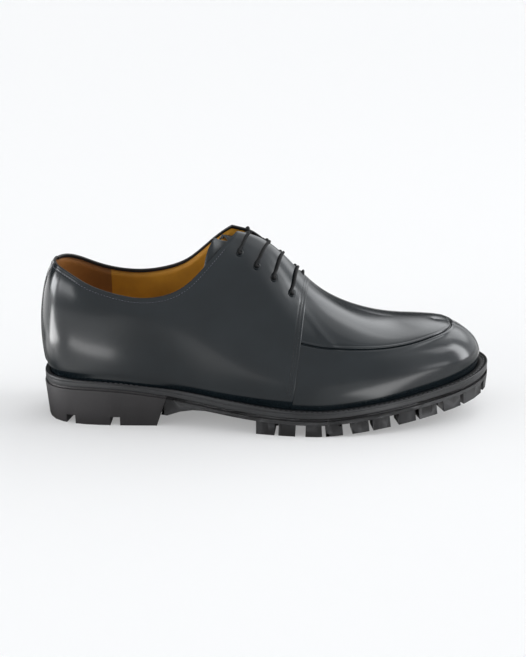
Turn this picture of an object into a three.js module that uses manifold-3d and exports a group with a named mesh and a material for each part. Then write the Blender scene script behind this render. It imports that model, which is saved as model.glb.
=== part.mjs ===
// Dress shoe, right foot: an apron-front derby with a split toe on a lugged rubber sole.
// Millimetres, +X to the toe, +Y to the big toe side, +Z up, standing on the floor.

import * as THREE from 'three';
import { mergeVertices } from 'three/addons/utils/BufferGeometryUtils.js';
import Module from 'manifold-3d';

const wasm = await Module();
wasm.setup();
const { Manifold } = wasm;

// Driving sizes

const LENGTH = 300;              // heel back to toe tip, over the sole
const BALL_WIDTH = 100;          // upper across the ball of the foot
const INSTEP_HEIGHT = 106;       // crown of the instep above the welt
const HEEL_LIFT = 14.2;          // welt at the heel above the welt at the ball
const TOE_SPRING = 17.0;         // tread at the toe tip above the floor
const SPRING_START = 0.61 * LENGTH;        // from the heel back to where the tread leaves the floor
const SPRING_BEND = 1.35;        // power of its rise
const GAP = 0.3;                 // between pieces that are glued or sewn together

const WALL = 2.0;                // leather with its lining
const LAP = 1.1;                 // quarter leather standing on the vamp
const RIDGE_HEIGHT = 1.3;        // hand sewn seam round the apron and down the toe
const RIDGE_HALF = 0.017;        // as a share of the section
const SLIT_TOP = 4.2;            // half gap between the facings at the top
const SLIT_LOW = 2.6;            // half gap above the throat
const THROAT_X = 0.59 * LENGTH;  // where the two facings meet the vamp

const EYELETS = 4;               // pairs
const EYELET_X = 0.4383 * LENGTH;    // top pair from the heel back
const EYELET_PITCH = 0.0367 * LENGTH;   // along the shoe
const INSET_TOP = 17.5;          // top eyelet from the facing's edge
const INSET_LOW = 30;            // lowest eyelet from the facing's edge
const INSET_BEND = 0.55;         // power by which the inset grows down the row
const STAND_OFF = 3.2;           // inner facing's top corner off the instep
const STAND_AT = 5.2;            // the section of that corner
const STAND_REACH = 1.3;         // sections either way
const EYELET_HOLE = 3.2;
const LACE = 2.2;
const LACE_DIP = 1.0;            // into the slit, between the facings

const WELT_WIDTH = 6.2;          // at the toe
const WELT_THICK = 2.7;
const MIDSOLE_THICK = 3.0;
const INSOLE_THICK = 3.0;
const OUTSOLE_THICK = 4.0;       // rubber above the lugs
const LUG_HEIGHT = 8.0;
const GROOVE_DEPTH = 1.5;        // step under the midsole edge
const GROOVE_HEIGHT = 1.5;
const SHANK_EXTRA = 9.0;         // extra rubber in front of the heel
const SHANK_RUN = 0.1 * LENGTH;  // along which it thins out
const TREAD_START = 0.4767 * LENGTH;   // rear face of the first lug
const LUG_PITCH = 0.05267 * LENGTH;
const NARROW_NOTCH = 2.6;
const WIDE_NOTCH = 7.0;
const NOTCH_LENGTH = 17;
const NOTCHES = 10;              // on each side, narrow and wide ones in turn
const NOTCH_START = 0.81 * LUG_PITCH;   // first one, from the first lug's rear face
const NOTCH_NARROWING = 0.04;    // of a wide one, from one to the next
const NOTCH_TURN = 0.55;         // share of the edge's own direction
const CHANNEL_INSET = 15;        // lug ring, from the sole edge inwards
const MIDDLE_BARS = 7;
const BAR_LENGTH = 9.5;
const BAR_CLEAR = 5;             // from the lug ring
const BAR_SHY = 0.4;             // shorter than the lug ring
const HEEL_LENGTH = 0.28 * LENGTH;   // along its top
const HEEL_RAKE = 7;             // breast set back at the floor
const HEEL_TAPER = 2.2;
const TOP_LIFT = 6.0;            // depth of the heel's notches
const HEEL_NOTCH = 6.5;
const HEEL_NOTCH_PLACES = [0.21 * HEEL_LENGTH, 0.583 * HEEL_LENGTH];
const RUBBER_PROUD = 0.4;        // rubber edge beyond the welt's

const TONGUE_THICK = 2.2;
const TONGUE_CLEAR = 0.7;
const TONGUE_FRONT = 0.613 * LENGTH;   // under the vamp, from the heel back
const TONGUE_DIP = 0.437 * LENGTH;   // middle of its top edge
const TONGUE_EAR = 0.3817 * LENGTH;   // corners of its top edge
const TONGUE_SIDE = 0.3567 * LENGTH;   // foot of its side edges
const FLARE_START = 0.403 * LENGTH;   // where the ears start to stand off
const TONGUE_FLARE = 2.5;        // how far the ears stand off the instep

// Sections of the last

// One row for each section, heel to toe. x is a share of LENGTH, y of BALL_WIDTH, heights are
// shares of INSTEP_HEIGHT above the welt. lat and med are the outer and inner feather line,
// crown is the ridge of the foot, bulge is how far the wall leans out at the height of lean,
// ridge is the share of the section where the apron seam runs, welt a share of WELT_WIDTH.
const COLUMNS = [
  'latX', 'latY', 'medX', 'medY', 'crownX', 'crownY', 'crownZ',
  'latBulge', 'medBulge', 'lean', 'shoulder', 'ridge', 'welt',
];
const SECTIONS = [
  /* heel back   */ [.010, .000, .010, .000, .130, .000, .930, .104, .104, .396, .87, .28, .55],
  /* heel corner */ [.037, -.230, .037, .230, .137, .000, .930, .086, .086, .390, .88, .28, .56],
  /* heel side   */ [.120, -.318, .123, .318, .167, .000, .935, .050, .050, .377, .88, .25, .56],
  /* rear waist  */ [.220, -.335, .220, .320, .233, .000, .957, .030, .040, .377, .86, .24, .52],
  /* waist       */ [.320, -.350, .317, .295, .320, .010, .989, .030, .045, .377, .74, .26, .52],
  /* arch        */ [.413, -.410, .407, .295, .407, .030, .990, .035, .050, .358, .52, .33, .64],
  /* rear ball   */ [.507, -.470, .500, .350, .500, .050, .926, .040, .045, .340, .42, .36, .84],
  /* ball        */ [.600, -.503, .597, .425, .587, .065, .691, .038, .035, .330, .48, .37, .94],
  /* fore ball   */ [.693, -.490, .693, .460, .677, .070, .492, .032, .030, .330, .66, .415, .97],
  /* toes        */ [.783, -.435, .790, .450, .760, .075, .385, .028, .028, .285, .74, .48, .97],
  /* toe box     */ [.863, -.350, .873, .405, .820, .080, .351, .028, .028, .222, .80, .58, 1.0],
  /* toe corner  */ [.942, -.210, .947, .320, .860, .082, .324, .030, .030, .155, .78, .71, 1.04],
  /* toe tip     */ [.982, .050, .982, .050, .873, .078, .308, .034, .034, .116, .72, .79, 1.05],
];

// Heel part of the feather line's height, at eighths of the length, as shares of HEEL_LIFT.
const HEEL_RISE = [.92, 1.0, .74, .32, .06, 0, 0, 0, 0];

// Top edge of the quarters above the floor, as shares of COLLAR_HEIGHT, one column for each
// COLLAR_STEP from the heel back: the outer side and the inner side.
const COLLAR_HEIGHT = 106;       // at the heel back
const COLLAR_STEP = 0.05417 * LENGTH;
const COLLAR_LAT = [1.01, .985, .909, .855, .824, .832, .898, 1.042, 1.172, 1.24];
const COLLAR_MED = [1.01, .985, .915, .870, .861, .887, .955, 1.090, 1.185, 1.24];

const ROW_COUNT = SECTIONS.length;
const AROUND = 2 * (ROW_COUNT - 1);   // sections met on one way round the foot

// Curves through table values

function bends(values, closed) {
  const n = values.length;
  const bend = new Array(n).fill(0);
  const at = (list, i) => list[(i + n) % n];
  for (let pass = 0; pass < 60; pass += 1) {
    for (let i = closed ? 0 : 1; i < (closed ? n : n - 1); i += 1) {
      const turn = at(values, i + 1) - 2 * values[i] + at(values, i - 1);
      bend[i] = (6 * turn - at(bend, i - 1) - at(bend, i + 1)) / 4;
    }
  }
  return bend;
}

function curve(values, closed) {
  const n = values.length;
  const bend = bends(values, closed);
  return (where) => {
    const u = closed ? ((where % n) + n) % n : THREE.MathUtils.clamp(where, -0.5, n - 0.5);
    const i = closed ? Math.floor(u) % n : THREE.MathUtils.clamp(Math.floor(u), 0, n - 2);
    const j = (i + 1) % n;
    const b = u - i;
    const a = 1 - b;
    const straight = a * values[i] + b * values[j];
    return straight + ((a ** 3 - a) * bend[i] + (b ** 3 - b) * bend[j]) / 6;
  };
}

// A column of the table as a closed curve: outer side heel to toe, inner side back to the heel.
function column(outer, inner, unit) {
  const there = SECTIONS.map((row) => row[COLUMNS.indexOf(outer)] * unit);
  const back = SECTIONS.map((row) => row[COLUMNS.indexOf(inner)] * unit);
  return curve([...there, ...back.slice(1, -1).reverse()], true);
}

const featherX = column('latX', 'medX', LENGTH);
const featherY = column('latY', 'medY', BALL_WIDTH);
const crownX = column('crownX', 'crownX', LENGTH);
const crownY = column('crownY', 'crownY', BALL_WIDTH);
const crownZ = column('crownZ', 'crownZ', INSTEP_HEIGHT);
const bulge = column('latBulge', 'medBulge', BALL_WIDTH);
const lean = column('lean', 'lean', INSTEP_HEIGHT);
const shoulder = column('shoulder', 'shoulder', 1);
const ridgeShare = column('ridge', 'ridge', 1);
const weltShare = column('welt', 'welt', WELT_WIDTH);
const heelRise = curve(HEEL_RISE, false);
const collarLat = curve(COLLAR_LAT, false);
const collarMed = curve(COLLAR_MED, false);

// Heights along the sole

const SOLE_THICK = WELT_THICK + GAP + MIDSOLE_THICK + GAP + OUTSOLE_THICK + LUG_HEIGHT;

function spring(x) {
  const run = Math.max(0, x - SPRING_START) / (LENGTH - SPRING_START);
  return TOE_SPRING * run ** SPRING_BEND;
}

function weltTop(x) {
  const share = THREE.MathUtils.clamp(x / LENGTH, 0, 1.02);
  return SOLE_THICK + spring(x) + HEEL_LIFT * heelRise(share * (HEEL_RISE.length - 1));
}

const midsoleTop = (x) => weltTop(x) - WELT_THICK - GAP;
const outsoleTop = (x) => midsoleTop(x) - MIDSOLE_THICK - GAP;

function outsoleBase(x) {
  const shank = THREE.MathUtils.clamp(1 - (x - HEEL_LENGTH) / SHANK_RUN, 0, 1);
  return outsoleTop(x) - OUTSOLE_THICK - SHANK_EXTRA * shank ** 2;
}

// The last's surface: u goes round the foot, t from the feather line to the crown

function lastPoint(u, t) {
  const foot = new THREE.Vector3(featherX(u), featherY(u), 0);
  foot.z = weltTop(foot.x);
  const crown = new THREE.Vector3(crownX(u), crownY(u), 0);
  crown.z = crownZ(u) + weltTop(crown.x);
  const out = new THREE.Vector2(foot.x - crown.x, foot.y - crown.y);
  const reach = out.length();
  out.normalize();
  const side = new THREE.Vector3(
    foot.x + out.x * bulge(u),
    foot.y + out.y * bulge(u),
    foot.z + lean(u),
  );
  const top = new THREE.Vector3(
    crown.x + out.x * reach * shoulder(u),
    crown.y + out.y * reach * shoulder(u),
    crown.z,
  );
  return new THREE.CubicBezierCurve3(foot, side, top, crown).getPoint(t);
}

// The top corner of the inner facing stands off the instep.
function standOff(u, t) {
  const own = AROUND - u;
  const along = Math.max(0, 1 - Math.abs(own - STAND_AT) / STAND_REACH);
  const up = THREE.MathUtils.smoothstep(t, 0.45, 0.95);
  return isOuter(u) ? 0 : STAND_OFF * THREE.MathUtils.smoothstep(along, 0, 1) * up;
}

function lastNormal(u, t) {
  const step = 0.01;
  if (t > 0.999) {
    const along = lastPoint(u + step, 1).sub(lastPoint(u - step, 1));
    if (Math.abs(along.x) < 0.01) return new THREE.Vector3(0, 0, 1);
    const facing = Math.sign(along.x);
    return new THREE.Vector3(-along.z * facing, 0, along.x * facing).normalize();
  }
  const low = Math.max(0, t - step);
  const high = Math.min(1, t + step);
  const along = lastPoint(u + step, t).sub(lastPoint(u - step, t));
  const up = lastPoint(u, high).sub(lastPoint(u, low));
  return along.cross(up).normalize();
}

// Feather line grown outwards in plan.
function outline(u, grow) {
  const step = 0.02;
  const dx = featherX(u + step) - featherX(u - step);
  const dy = featherY(u + step) - featherY(u - step);
  const size = Math.hypot(dx, dy);
  return new THREE.Vector2(featherX(u) + grow * dy / size, featherY(u) - grow * dx / size);
}

// Where a section is cut: the collar, the slit between the facings, or the closed crown

const isOuter = (u) => u <= AROUND / 2;

function slitHalf(x) {
  const down = THREE.MathUtils.clamp((x - EYELET_X) / (THROAT_X - EYELET_X), 0, 1);
  return THREE.MathUtils.lerp(SLIT_TOP, SLIT_LOW, down);
}

function collarHeight(u, x) {
  const side = isOuter(u) ? collarLat : collarMed;
  return COLLAR_HEIGHT * side(x / COLLAR_STEP);
}

function isCut(u, t) {
  const point = lastPoint(u, t);
  const last = (COLLAR_LAT.length - 1) * COLLAR_STEP;
  const aboveCollar = point.x < last && point.z > collarHeight(u, point.x);
  const crown = lastPoint(u, 1);
  const across = Math.hypot(point.x - crown.x, point.y - crown.y);
  return aboveCollar || (crown.x < THROAT_X && across < slitHalf(crown.x));
}

function topShare(u) {
  if (!isCut(u, 1)) return 1;
  let low = 0.2;
  let high = 1;
  for (let i = 0; i < 24; i += 1) {
    const middle = (low + high) / 2;
    if (isCut(u, middle)) high = middle;
    else low = middle;
  }
  return low;
}

// Front edge of the quarters, as a place on the way round at height t.
const FRONT_CROWN = 7.1;
const FRONT_FOOT = 6.5;
const frontEdge = (t) => FRONT_FOOT + (FRONT_CROWN - FRONT_FOOT) * t;

// Meshes and solids

class Skin {
  constructor() {
    this.places = [];
  }

  triangle(a, b, c) {
    this.places.push(...a.toArray(), ...b.toArray(), ...c.toArray());
  }

  quad(a, b, c, d) {
    if (a.distanceTo(b) < 1e-4) {
      this.triangle(a, c, d);
    } else if (c.distanceTo(d) < 1e-4) {
      this.triangle(a, b, c);
    } else if (a.distanceTo(c) <= b.distanceTo(d)) {
      this.triangle(a, b, c);
      this.triangle(a, c, d);
    } else {
      this.triangle(a, b, d);
      this.triangle(b, c, d);
    }
  }

  geometry() {
    const soup = new THREE.BufferGeometry();
    soup.setAttribute('position', new THREE.Float32BufferAttribute(this.places, 3));
    return mergeVertices(soup, 1e-3);
  }

  solid() {
    return toSolid(this.geometry());
  }
}

function toSolid(geometry) {
  const plain = new THREE.BufferGeometry();
  plain.setAttribute('position', geometry.getAttribute('position'));
  plain.setIndex(geometry.getIndex());
  const merged = mergeVertices(plain, 1e-3);
  const index = merged.getIndex().array;
  const kept = [];
  for (let i = 0; i < index.length; i += 3) {
    const [a, b, c] = [index[i], index[i + 1], index[i + 2]];
    if (a !== b && b !== c && c !== a) kept.push(a, b, c);
  }
  return new Manifold(new wasm.Mesh({
    numProp: 3,
    vertProperties: new Float32Array(merged.getAttribute('position').array),
    triVerts: new Uint32Array(kept),
  }));
}

function toGeometry(solid) {
  const mesh = solid.getMesh();
  const geometry = new THREE.BufferGeometry();
  geometry.setAttribute('position', new THREE.Float32BufferAttribute(mesh.vertProperties, 3));
  geometry.setIndex(new THREE.Uint32BufferAttribute(mesh.triVerts, 1));
  return geometry;
}

// A closed strip of quads between two rows of points; the outside is to the right of the way up.
function band(skin, lower, upper, closed = true) {
  const count = closed ? lower.length : lower.length - 1;
  for (let j = 0; j < count; j += 1) {
    const next = (j + 1) % lower.length;
    skin.quad(lower[j], lower[next], upper[next], upper[j]);
  }
}

// A cap over a closed outline: each point is joined to its mirror across the foot.
function cap(skin, ring, up) {
  const half = ring.length / 2;
  for (let j = 0; j < half; j += 1) {
    const [a, b] = [ring[j], ring[j + 1]];
    const [c, d] = [ring[(ring.length - j - 1) % ring.length], ring[(ring.length - j) % ring.length]];
    if (up) skin.quad(a, b, c, d);
    else skin.quad(d, c, b, a);
  }
}

const RING = 80;
const FINE_FROM = 4.5;           // closer columns from here, behind the facings
const FINE_TO = 7.2;             // to here, past the throat
const ringPlaces = Array.from({ length: RING }, (_, j) => (j * AROUND) / RING);

// One ring of points: the outline grown by grow(u), at height(x).
function ring(grow, height) {
  return ringPlaces.map((u) => {
    const flat = outline(u, grow(u));
    return new THREE.Vector3(flat.x, flat.y, height(flat.x));
  });
}

// A slab from rings given bottom to top.
function slab(rings) {
  const skin = new Skin();
  for (let k = 0; k + 1 < rings.length; k += 1) band(skin, rings[k], rings[k + 1]);
  cap(skin, rings[0], false);
  cap(skin, rings[rings.length - 1], true);
  return skin.solid();
}

function block(sizeX, sizeY, sizeZ, place, turnY = 0, turnZ = 0) {
  const geometry = new THREE.BoxGeometry(sizeX, sizeY, sizeZ);
  geometry.rotateY(turnY);
  geometry.rotateZ(turnZ);
  geometry.translate(place.x, place.y, place.z);
  return toSolid(geometry);
}

// Upper

function upperPlaces() {
  const half = [];
  const coarse = AROUND / RING;
  const isFine = (u) => u > FINE_FROM - 0.01 && u < FINE_TO - 0.01;
  for (let u = 0; u < AROUND / 2 - 0.2; u += isFine(u) ? coarse / 2 : coarse) half.push(u);
  half.push(AROUND / 2 - 0.08, AROUND / 2);
  const edges = [FRONT_CROWN, FRONT_CROWN + 0.03];
  const kept = half.filter((u) => edges.every((edge) => Math.abs(u - edge) > 0.06));
  const outer = [...kept, ...edges].sort((a, b) => a - b);
  const inner = outer.slice(1, -1).map((u) => AROUND - u).reverse();
  return [...outer, ...inner];
}

// Columns near the quarter's front edge lean with it.
function leanedPlace(u, t) {
  const own = isOuter(u) ? u : AROUND - u;
  const near = Math.max(0, 1 - Math.abs(own - FRONT_CROWN) / 1.5);
  const leaned = own + (frontEdge(t) - FRONT_CROWN) * near;
  return isOuter(u) ? leaned : AROUND - leaned;
}

function isQuarter(u) {
  const own = isOuter(u) ? u : AROUND - u;
  return own < FRONT_CROWN + 0.01;
}

const ROWS_BELOW = [0, 0.35, 0.7];
const ROWS_ABOVE = [0.16, 0.36, 0.56, 0.78, 1];

function rowShares(u, top) {
  const seam = top < 1 ? Math.min(ridgeShare(u), top * 0.55) : ridgeShare(u);
  const rest = top - seam - RIDGE_HALF;
  return [
    ...ROWS_BELOW.map((share) => share * seam),
    seam - RIDGE_HALF,
    seam,
    seam + RIDGE_HALF,
    ...ROWS_ABOVE.map((share) => seam + RIDGE_HALF + share * rest),
  ];
}

function raised(u, row) {
  const seamRow = ROWS_BELOW.length + 1;
  const toeSeam = Math.abs(u - AROUND / 2) < 0.01 && row <= seamRow;
  if (isQuarter(u)) return LAP;
  if (row === seamRow || toeSeam) return RIDGE_HEIGHT;
  return 0;
}

function buildUpper() {
  const places = upperPlaces();
  const outer = [];
  const inner = [];
  const open = [];
  for (const u of places) {
    const top = topShare(leanedPlace(u, 1));
    open.push(top < 1);
    const outs = [];
    const ins = [];
    rowShares(u, top).forEach((t, row) => {
      const at = leanedPlace(u, t);
      const point = lastPoint(at, t);
      const normal = lastNormal(at, t);
      if (row === 0) {
        const flat = normal.clone().setZ(0).normalize();
        for (const drop of [WELT_THICK, 0]) {
          const place = point.clone();
          place.z -= drop;
          outs.push(place);
          ins.push(place.clone().addScaledVector(flat, -WALL));
        }
      } else {
        const off = standOff(at, t);
        outs.push(point.clone().addScaledVector(normal, off + raised(u, row)));
        ins.push(point.clone().addScaledVector(normal, off - WALL));
      }
    });
    outer.push(outs);
    inner.push(ins);
  }
  const skin = new Skin();
  const rows = outer[0].length;
  const rowOf = (grid, k) => grid.map((line) => line[k]);
  for (let k = 0; k + 1 < rows; k += 1) {
    band(skin, rowOf(outer, k), rowOf(outer, k + 1));
    band(skin, rowOf(inner, k + 1), rowOf(inner, k));
  }
  band(skin, rowOf(inner, 0), rowOf(outer, 0));
  for (let j = 0; j < places.length; j += 1) {
    const next = (j + 1) % places.length;
    if (open[j] || open[next]) {
      skin.quad(outer[j][rows - 1], outer[next][rows - 1], inner[next][rows - 1], inner[j][rows - 1]);
    }
  }
  let solid = skin.solid();
  for (const eyelet of eyeletPlaces()) solid = solid.subtract(eyeletHole(eyelet));
  return solid;
}

// Eyelets

// Share of the section at u where a point lies the given way down from the facing's edge.
function shareBelowEdge(u, way) {
  let t = topShare(u);
  let left = way;
  let from = lastPoint(u, t);
  while (left > 0 && t > 0.1) {
    t -= 0.004;
    const to = lastPoint(u, t);
    left -= from.distanceTo(to);
    from = to;
  }
  return t;
}

// The way round to the section whose crown lies at x.
function placeOfCrown(x) {
  let low = 0;
  let high = AROUND / 2;
  for (let i = 0; i < 30; i += 1) {
    const middle = (low + high) / 2;
    if (crownX(middle) > x) high = middle;
    else low = middle;
  }
  return low;
}

function eyeletPlaces() {
  const found = [];
  for (let i = 0; i < EYELETS; i += 1) {
    const own = placeOfCrown(EYELET_X + i * EYELET_PITCH);
    for (const u of [own, AROUND - own]) {
      const down = (i / (EYELETS - 1)) ** INSET_BEND;
      const t = shareBelowEdge(u, THREE.MathUtils.lerp(INSET_TOP, INSET_LOW, down));
      const normal = lastNormal(u, t);
      found.push({ u, t, normal, point: lastPoint(u, t).addScaledVector(normal, standOff(u, t)) });
    }
  }
  return found;
}

function eyeletHole({ point, normal }) {
  const geometry = new THREE.CylinderGeometry(EYELET_HOLE / 2, EYELET_HOLE / 2, 4 * WALL + LAP, 12);
  const turn = new THREE.Quaternion().setFromUnitVectors(new THREE.Vector3(0, 1, 0), normal);
  geometry.applyQuaternion(turn);
  geometry.translate(point.x, point.y, point.z);
  return toSolid(geometry);
}

// Tongue

function buildTongue() {
  const across = 12;
  const along = 12;
  const reach = 0.36;
  const front = placeOfCrown(TONGUE_FRONT);
  const grids = [[], []];
  for (let i = 0; i <= across; i += 1) {
    const w = (2 * i) / across - 1;
    const side = Math.abs(w);
    const middle = Math.cos(Math.min(1, side / 0.5) * Math.PI) * 0.5 + 0.5;
    const corner = THREE.MathUtils.lerp(TONGUE_EAR, TONGUE_SIDE, Math.max(0, (side - 0.5) / 0.5));
    const rear = placeOfCrown(THREE.MathUtils.lerp(corner, TONGUE_DIP, middle));
    for (const grid of grids) grid.push([]);
    for (let k = 0; k <= along; k += 1) {
      const own = THREE.MathUtils.lerp(front, rear, k / along);
      const u = w < 0 ? own : AROUND - own;
      const t = 1 - reach * side;
      const beyond = Math.max(0, FLARE_START - crownX(own)) / (FLARE_START - TONGUE_EAR);
      const flare = TONGUE_FLARE * Math.min(1, beyond) ** 1.5 * Math.sin(Math.PI * side) ** 2;
      const normal = lastNormal(u, t);
      const point = lastPoint(u, t);
      const depth = WALL + TONGUE_CLEAR;
      grids[0][i].push(point.clone().addScaledVector(normal, flare - depth));
      grids[1][i].push(point.clone().addScaledVector(normal, flare - depth - TONGUE_THICK));
    }
  }
  return sheet(grids[0], grids[1]);
}

// A solid sheet from its outer and its inner grid.
function sheet(outer, inner) {
  const skin = new Skin();
  const lastLine = outer.length - 1;
  const lastRow = outer[0].length - 1;
  for (let i = 0; i < lastLine; i += 1) {
    for (let k = 0; k < lastRow; k += 1) {
      skin.quad(outer[i][k], outer[i + 1][k], outer[i + 1][k + 1], outer[i][k + 1]);
      skin.quad(inner[i][k], inner[i][k + 1], inner[i + 1][k + 1], inner[i + 1][k]);
    }
    skin.quad(outer[i][0], inner[i][0], inner[i + 1][0], outer[i + 1][0]);
    skin.quad(outer[i][lastRow], outer[i + 1][lastRow], inner[i + 1][lastRow], inner[i][lastRow]);
  }
  for (let k = 0; k < lastRow; k += 1) {
    const [near, far] = [outer[0], outer[lastLine]];
    skin.quad(near[k], near[k + 1], inner[0][k + 1], inner[0][k]);
    skin.quad(far[k], inner[lastLine][k], inner[lastLine][k + 1], far[k + 1]);
  }
  return skin.solid();
}

// Laces

// How far the two legs of a lace lean to the toe where they meet, in sections.
const LACE_FORWARD = 0.2;

function buildLace(index) {
  const pair = eyeletPlaces().slice(2 * index, 2 * index + 2);
  const points = [];
  const steps = 9;
  for (let k = 0; k < 2 * steps - 1; k += 1) {
    const { u, t } = pair[k < steps ? 0 : 1];
    const share = 1 - Math.abs(k - steps + 1) / (steps - 1);
    const place = u + LACE_FORWARD * share * (k < steps ? 1 : -1);
    const height = THREE.MathUtils.lerp(t, 1, share);
    const dip = LACE_DIP * THREE.MathUtils.smoothstep(share, 0.84, 1);
    const lift = LAP + GAP + LACE / 2 - dip + standOff(place, height) * (share < 1 ? 1 : 0);
    const normal = lastNormal(place, height);
    points.push(lastPoint(place, height).addScaledVector(normal, lift));
  }
  const path = new THREE.CatmullRomCurve3(points, false, 'centripetal');
  return tube(path, 24, LACE / 2, 8);
}

// A round tube along a path, closed at both ends.
function tube(path, segments, radius, sides) {
  const frames = path.computeFrenetFrames(segments, false);
  const skin = new Skin();
  const rings = [];
  for (let k = 0; k <= segments; k += 1) {
    const centre = path.getPointAt(k / segments);
    const line = [];
    for (let i = 0; i < sides; i += 1) {
      const angle = (2 * Math.PI * i) / sides;
      line.push(centre.clone()
        .addScaledVector(frames.normals[k], radius * Math.cos(angle))
        .addScaledVector(frames.binormals[k], radius * Math.sin(angle)));
    }
    rings.push(line);
  }
  for (let k = 0; k < segments; k += 1) band(skin, rings[k], rings[k + 1]);
  for (let i = 1; i + 1 < sides; i += 1) {
    skin.triangle(rings[0][0], rings[0][i + 1], rings[0][i]);
    const end = rings[segments];
    skin.triangle(end[0], end[i], end[i + 1]);
  }
  return skin.solid();
}

// Insole, welt and midsole

function buildInsole() {
  const inset = () => -(WALL + GAP + 0.4);
  const floor = (x) => midsoleTop(x) + GAP;
  return slab([ring(inset, floor), ring(inset, (x) => floor(x) + INSOLE_THICK)]);
}

function buildWelt() {
  const low = (x) => weltTop(x) - WELT_THICK;
  const inside = () => GAP + 0.1;
  const rings = [ring(inside, low), ring(weltShare, low), ring(weltShare, weltTop), ring(inside, weltTop)];
  const skin = new Skin();
  for (let k = 0; k < rings.length; k += 1) band(skin, rings[k], rings[(k + 1) % rings.length]);
  return skin.solid();
}

function buildMidsole() {
  const edge = (u) => weltShare(u) - 0.2;
  return slab([ring(edge, (x) => midsoleTop(x) - MIDSOLE_THICK), ring(edge, midsoleTop)]);
}

// Outsole

// The side of the rubber: a step in under the midsole, then the full edge.
function rubberSide(bottom, top, taper = 0) {
  const full = (u) => weltShare(u) + RUBBER_PROUD;
  const step = (u) => full(u) - GROOVE_DEPTH;
  const shelf = (x) => top(x) - GROOVE_HEIGHT;
  return [
    ring((u) => full(u) - taper, bottom),
    ring(full, shelf),
    ring(step, shelf),
    ring(step, top),
  ];
}

function notches() {
  const cuts = [];
  for (let i = 0; i < NOTCHES; i += 1) {
    const x = TREAD_START + NOTCH_START + i * LUG_PITCH;
    const width = i % 2 === 0 ? NARROW_NOTCH : WIDE_NOTCH * (1 - NOTCH_NARROWING * i);
    for (const side of [-1, 1]) cuts.push(notch(x, side, width, outsoleBase));
  }
  return cuts;
}

// A notch across the edge of the tread at x, square to the edge.
function notch(x, side, width, roof) {
  const u = edgePlace(x, side);
  const edge = outline(u, weltShare(u) + 2);
  const inner = outline(u, weltShare(u) - NOTCH_LENGTH);
  const own = Math.atan2(edge.y - inner.y, edge.x - inner.x);
  const turn = THREE.MathUtils.lerp((side * Math.PI) / 2, own, NOTCH_TURN);
  const depth = 14;
  const middle = edge.clone().lerp(inner, 0.5);
  const place = new THREE.Vector3(middle.x, middle.y, roof(middle.x) - depth / 2);
  const slope = Math.atan2(roof(middle.x + 4) - roof(middle.x - 4), 8);
  return block(NOTCH_LENGTH + 4, width, depth, place, 0, turn)
    .translate([-place.x, -place.y, -place.z])
    .rotate([0, THREE.MathUtils.radToDeg(-slope), 0])
    .translate([place.x, place.y, place.z]);
}

function buildOutsole() {
  const breast = [Math.cos(heelAngle()), 0, Math.sin(heelAngle())];
  const reach = breastReach() + GAP;
  const base = slab(rubberSide(outsoleBase, outsoleTop)).trimByPlane(breast, reach);
  const over = (x) => outsoleBase(x) + 1;
  const edge = (u) => weltShare(u) + RUBBER_PROUD;
  const under = (u) => edge(u) - 0.8;
  const inner = (u) => edge(u) - CHANNEL_INSET;
  let tread = slab([ring(under, spring), ring(edge, over)]);
  tread = tread.trimByPlane([1, 0, 0], TREAD_START);
  const deep = (x) => spring(x) - 5;
  let channel = slab([ring(inner, deep), ring(inner, outsoleBase)]);
  channel = channel.trimByPlane([1, 0, 0], TREAD_START + CHANNEL_INSET);
  tread = tread.subtract(channel);
  for (const cut of notches()) tread = tread.subtract(cut);
  return base.add(tread).add(middleLugs());
}

// Bars along the middle of the tread.
function middleLugs() {
  const pieces = [];
  for (let i = 0; i < MIDDLE_BARS; i += 1) {
    const x = TREAD_START + CHANNEL_INSET + (i + 0.5) * LUG_PITCH;
    const [near, far] = edgesAt(x);
    const width = far - near - 2 * (CHANNEL_INSET + BAR_CLEAR);
    const low = spring(x) + BAR_SHY;
    const height = outsoleBase(x) + 1 - low;
    const place = new THREE.Vector3(x, (near + far) / 2, low + height / 2);
    const half = BAR_LENGTH / 2;
    const slope = Math.atan2(spring(x + half) - spring(x - half), BAR_LENGTH);
    pieces.push(block(BAR_LENGTH, width, height, place, -slope));
  }
  return Manifold.union(pieces);
}

// The two edges of the sole at x.
function edgesAt(x) {
  return [-1, 1].map((side) => outline(edgePlace(x, side), weltShare(edgePlace(x, side))).y);
}

// The way round to the sole's edge at x, on one side.
function edgePlace(x, side) {
  let low = 0;
  let high = AROUND / 2;
  const at = (own) => (side < 0 ? own : AROUND - own);
  for (let i = 0; i < 24; i += 1) {
    const half = (low + high) / 2;
    if (outline(at(half), weltShare(at(half))).x > x) high = half;
    else low = half;
  }
  return at(low);
}

// Heel

const heelAngle = () => Math.atan2(-HEEL_RAKE, outsoleTop(HEEL_LENGTH));
const breastReach = () => HEEL_LENGTH * Math.cos(heelAngle())
  + outsoleTop(HEEL_LENGTH) * Math.sin(heelAngle());

function buildHeel() {
  const floor = () => 0;
  const breast = [-Math.cos(heelAngle()), 0, -Math.sin(heelAngle())];
  let heel = slab(rubberSide(floor, outsoleTop, HEEL_TAPER)).trimByPlane(breast, -breastReach());
  for (const x of HEEL_NOTCH_PLACES) {
    for (const side of [-1, 1]) {
      heel = heel.subtract(notch(x, side, HEEL_NOTCH, () => TOP_LIFT));
    }
  }
  return heel;
}

// Assembly

const LEATHER = { color: 0x1b1d20, roughness: 0.28, metalness: 0 };
const RUBBER = { color: 0x26282a, roughness: 0.75, metalness: 0 };
const WELTING = { color: 0x2c2e31, roughness: 0.55, metalness: 0 };
const CORD = { color: 0x0e0f10, roughness: 0.6, metalness: 0 };
const LINING = { color: 0xb07a2c, roughness: 0.6, metalness: 0 };

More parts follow.
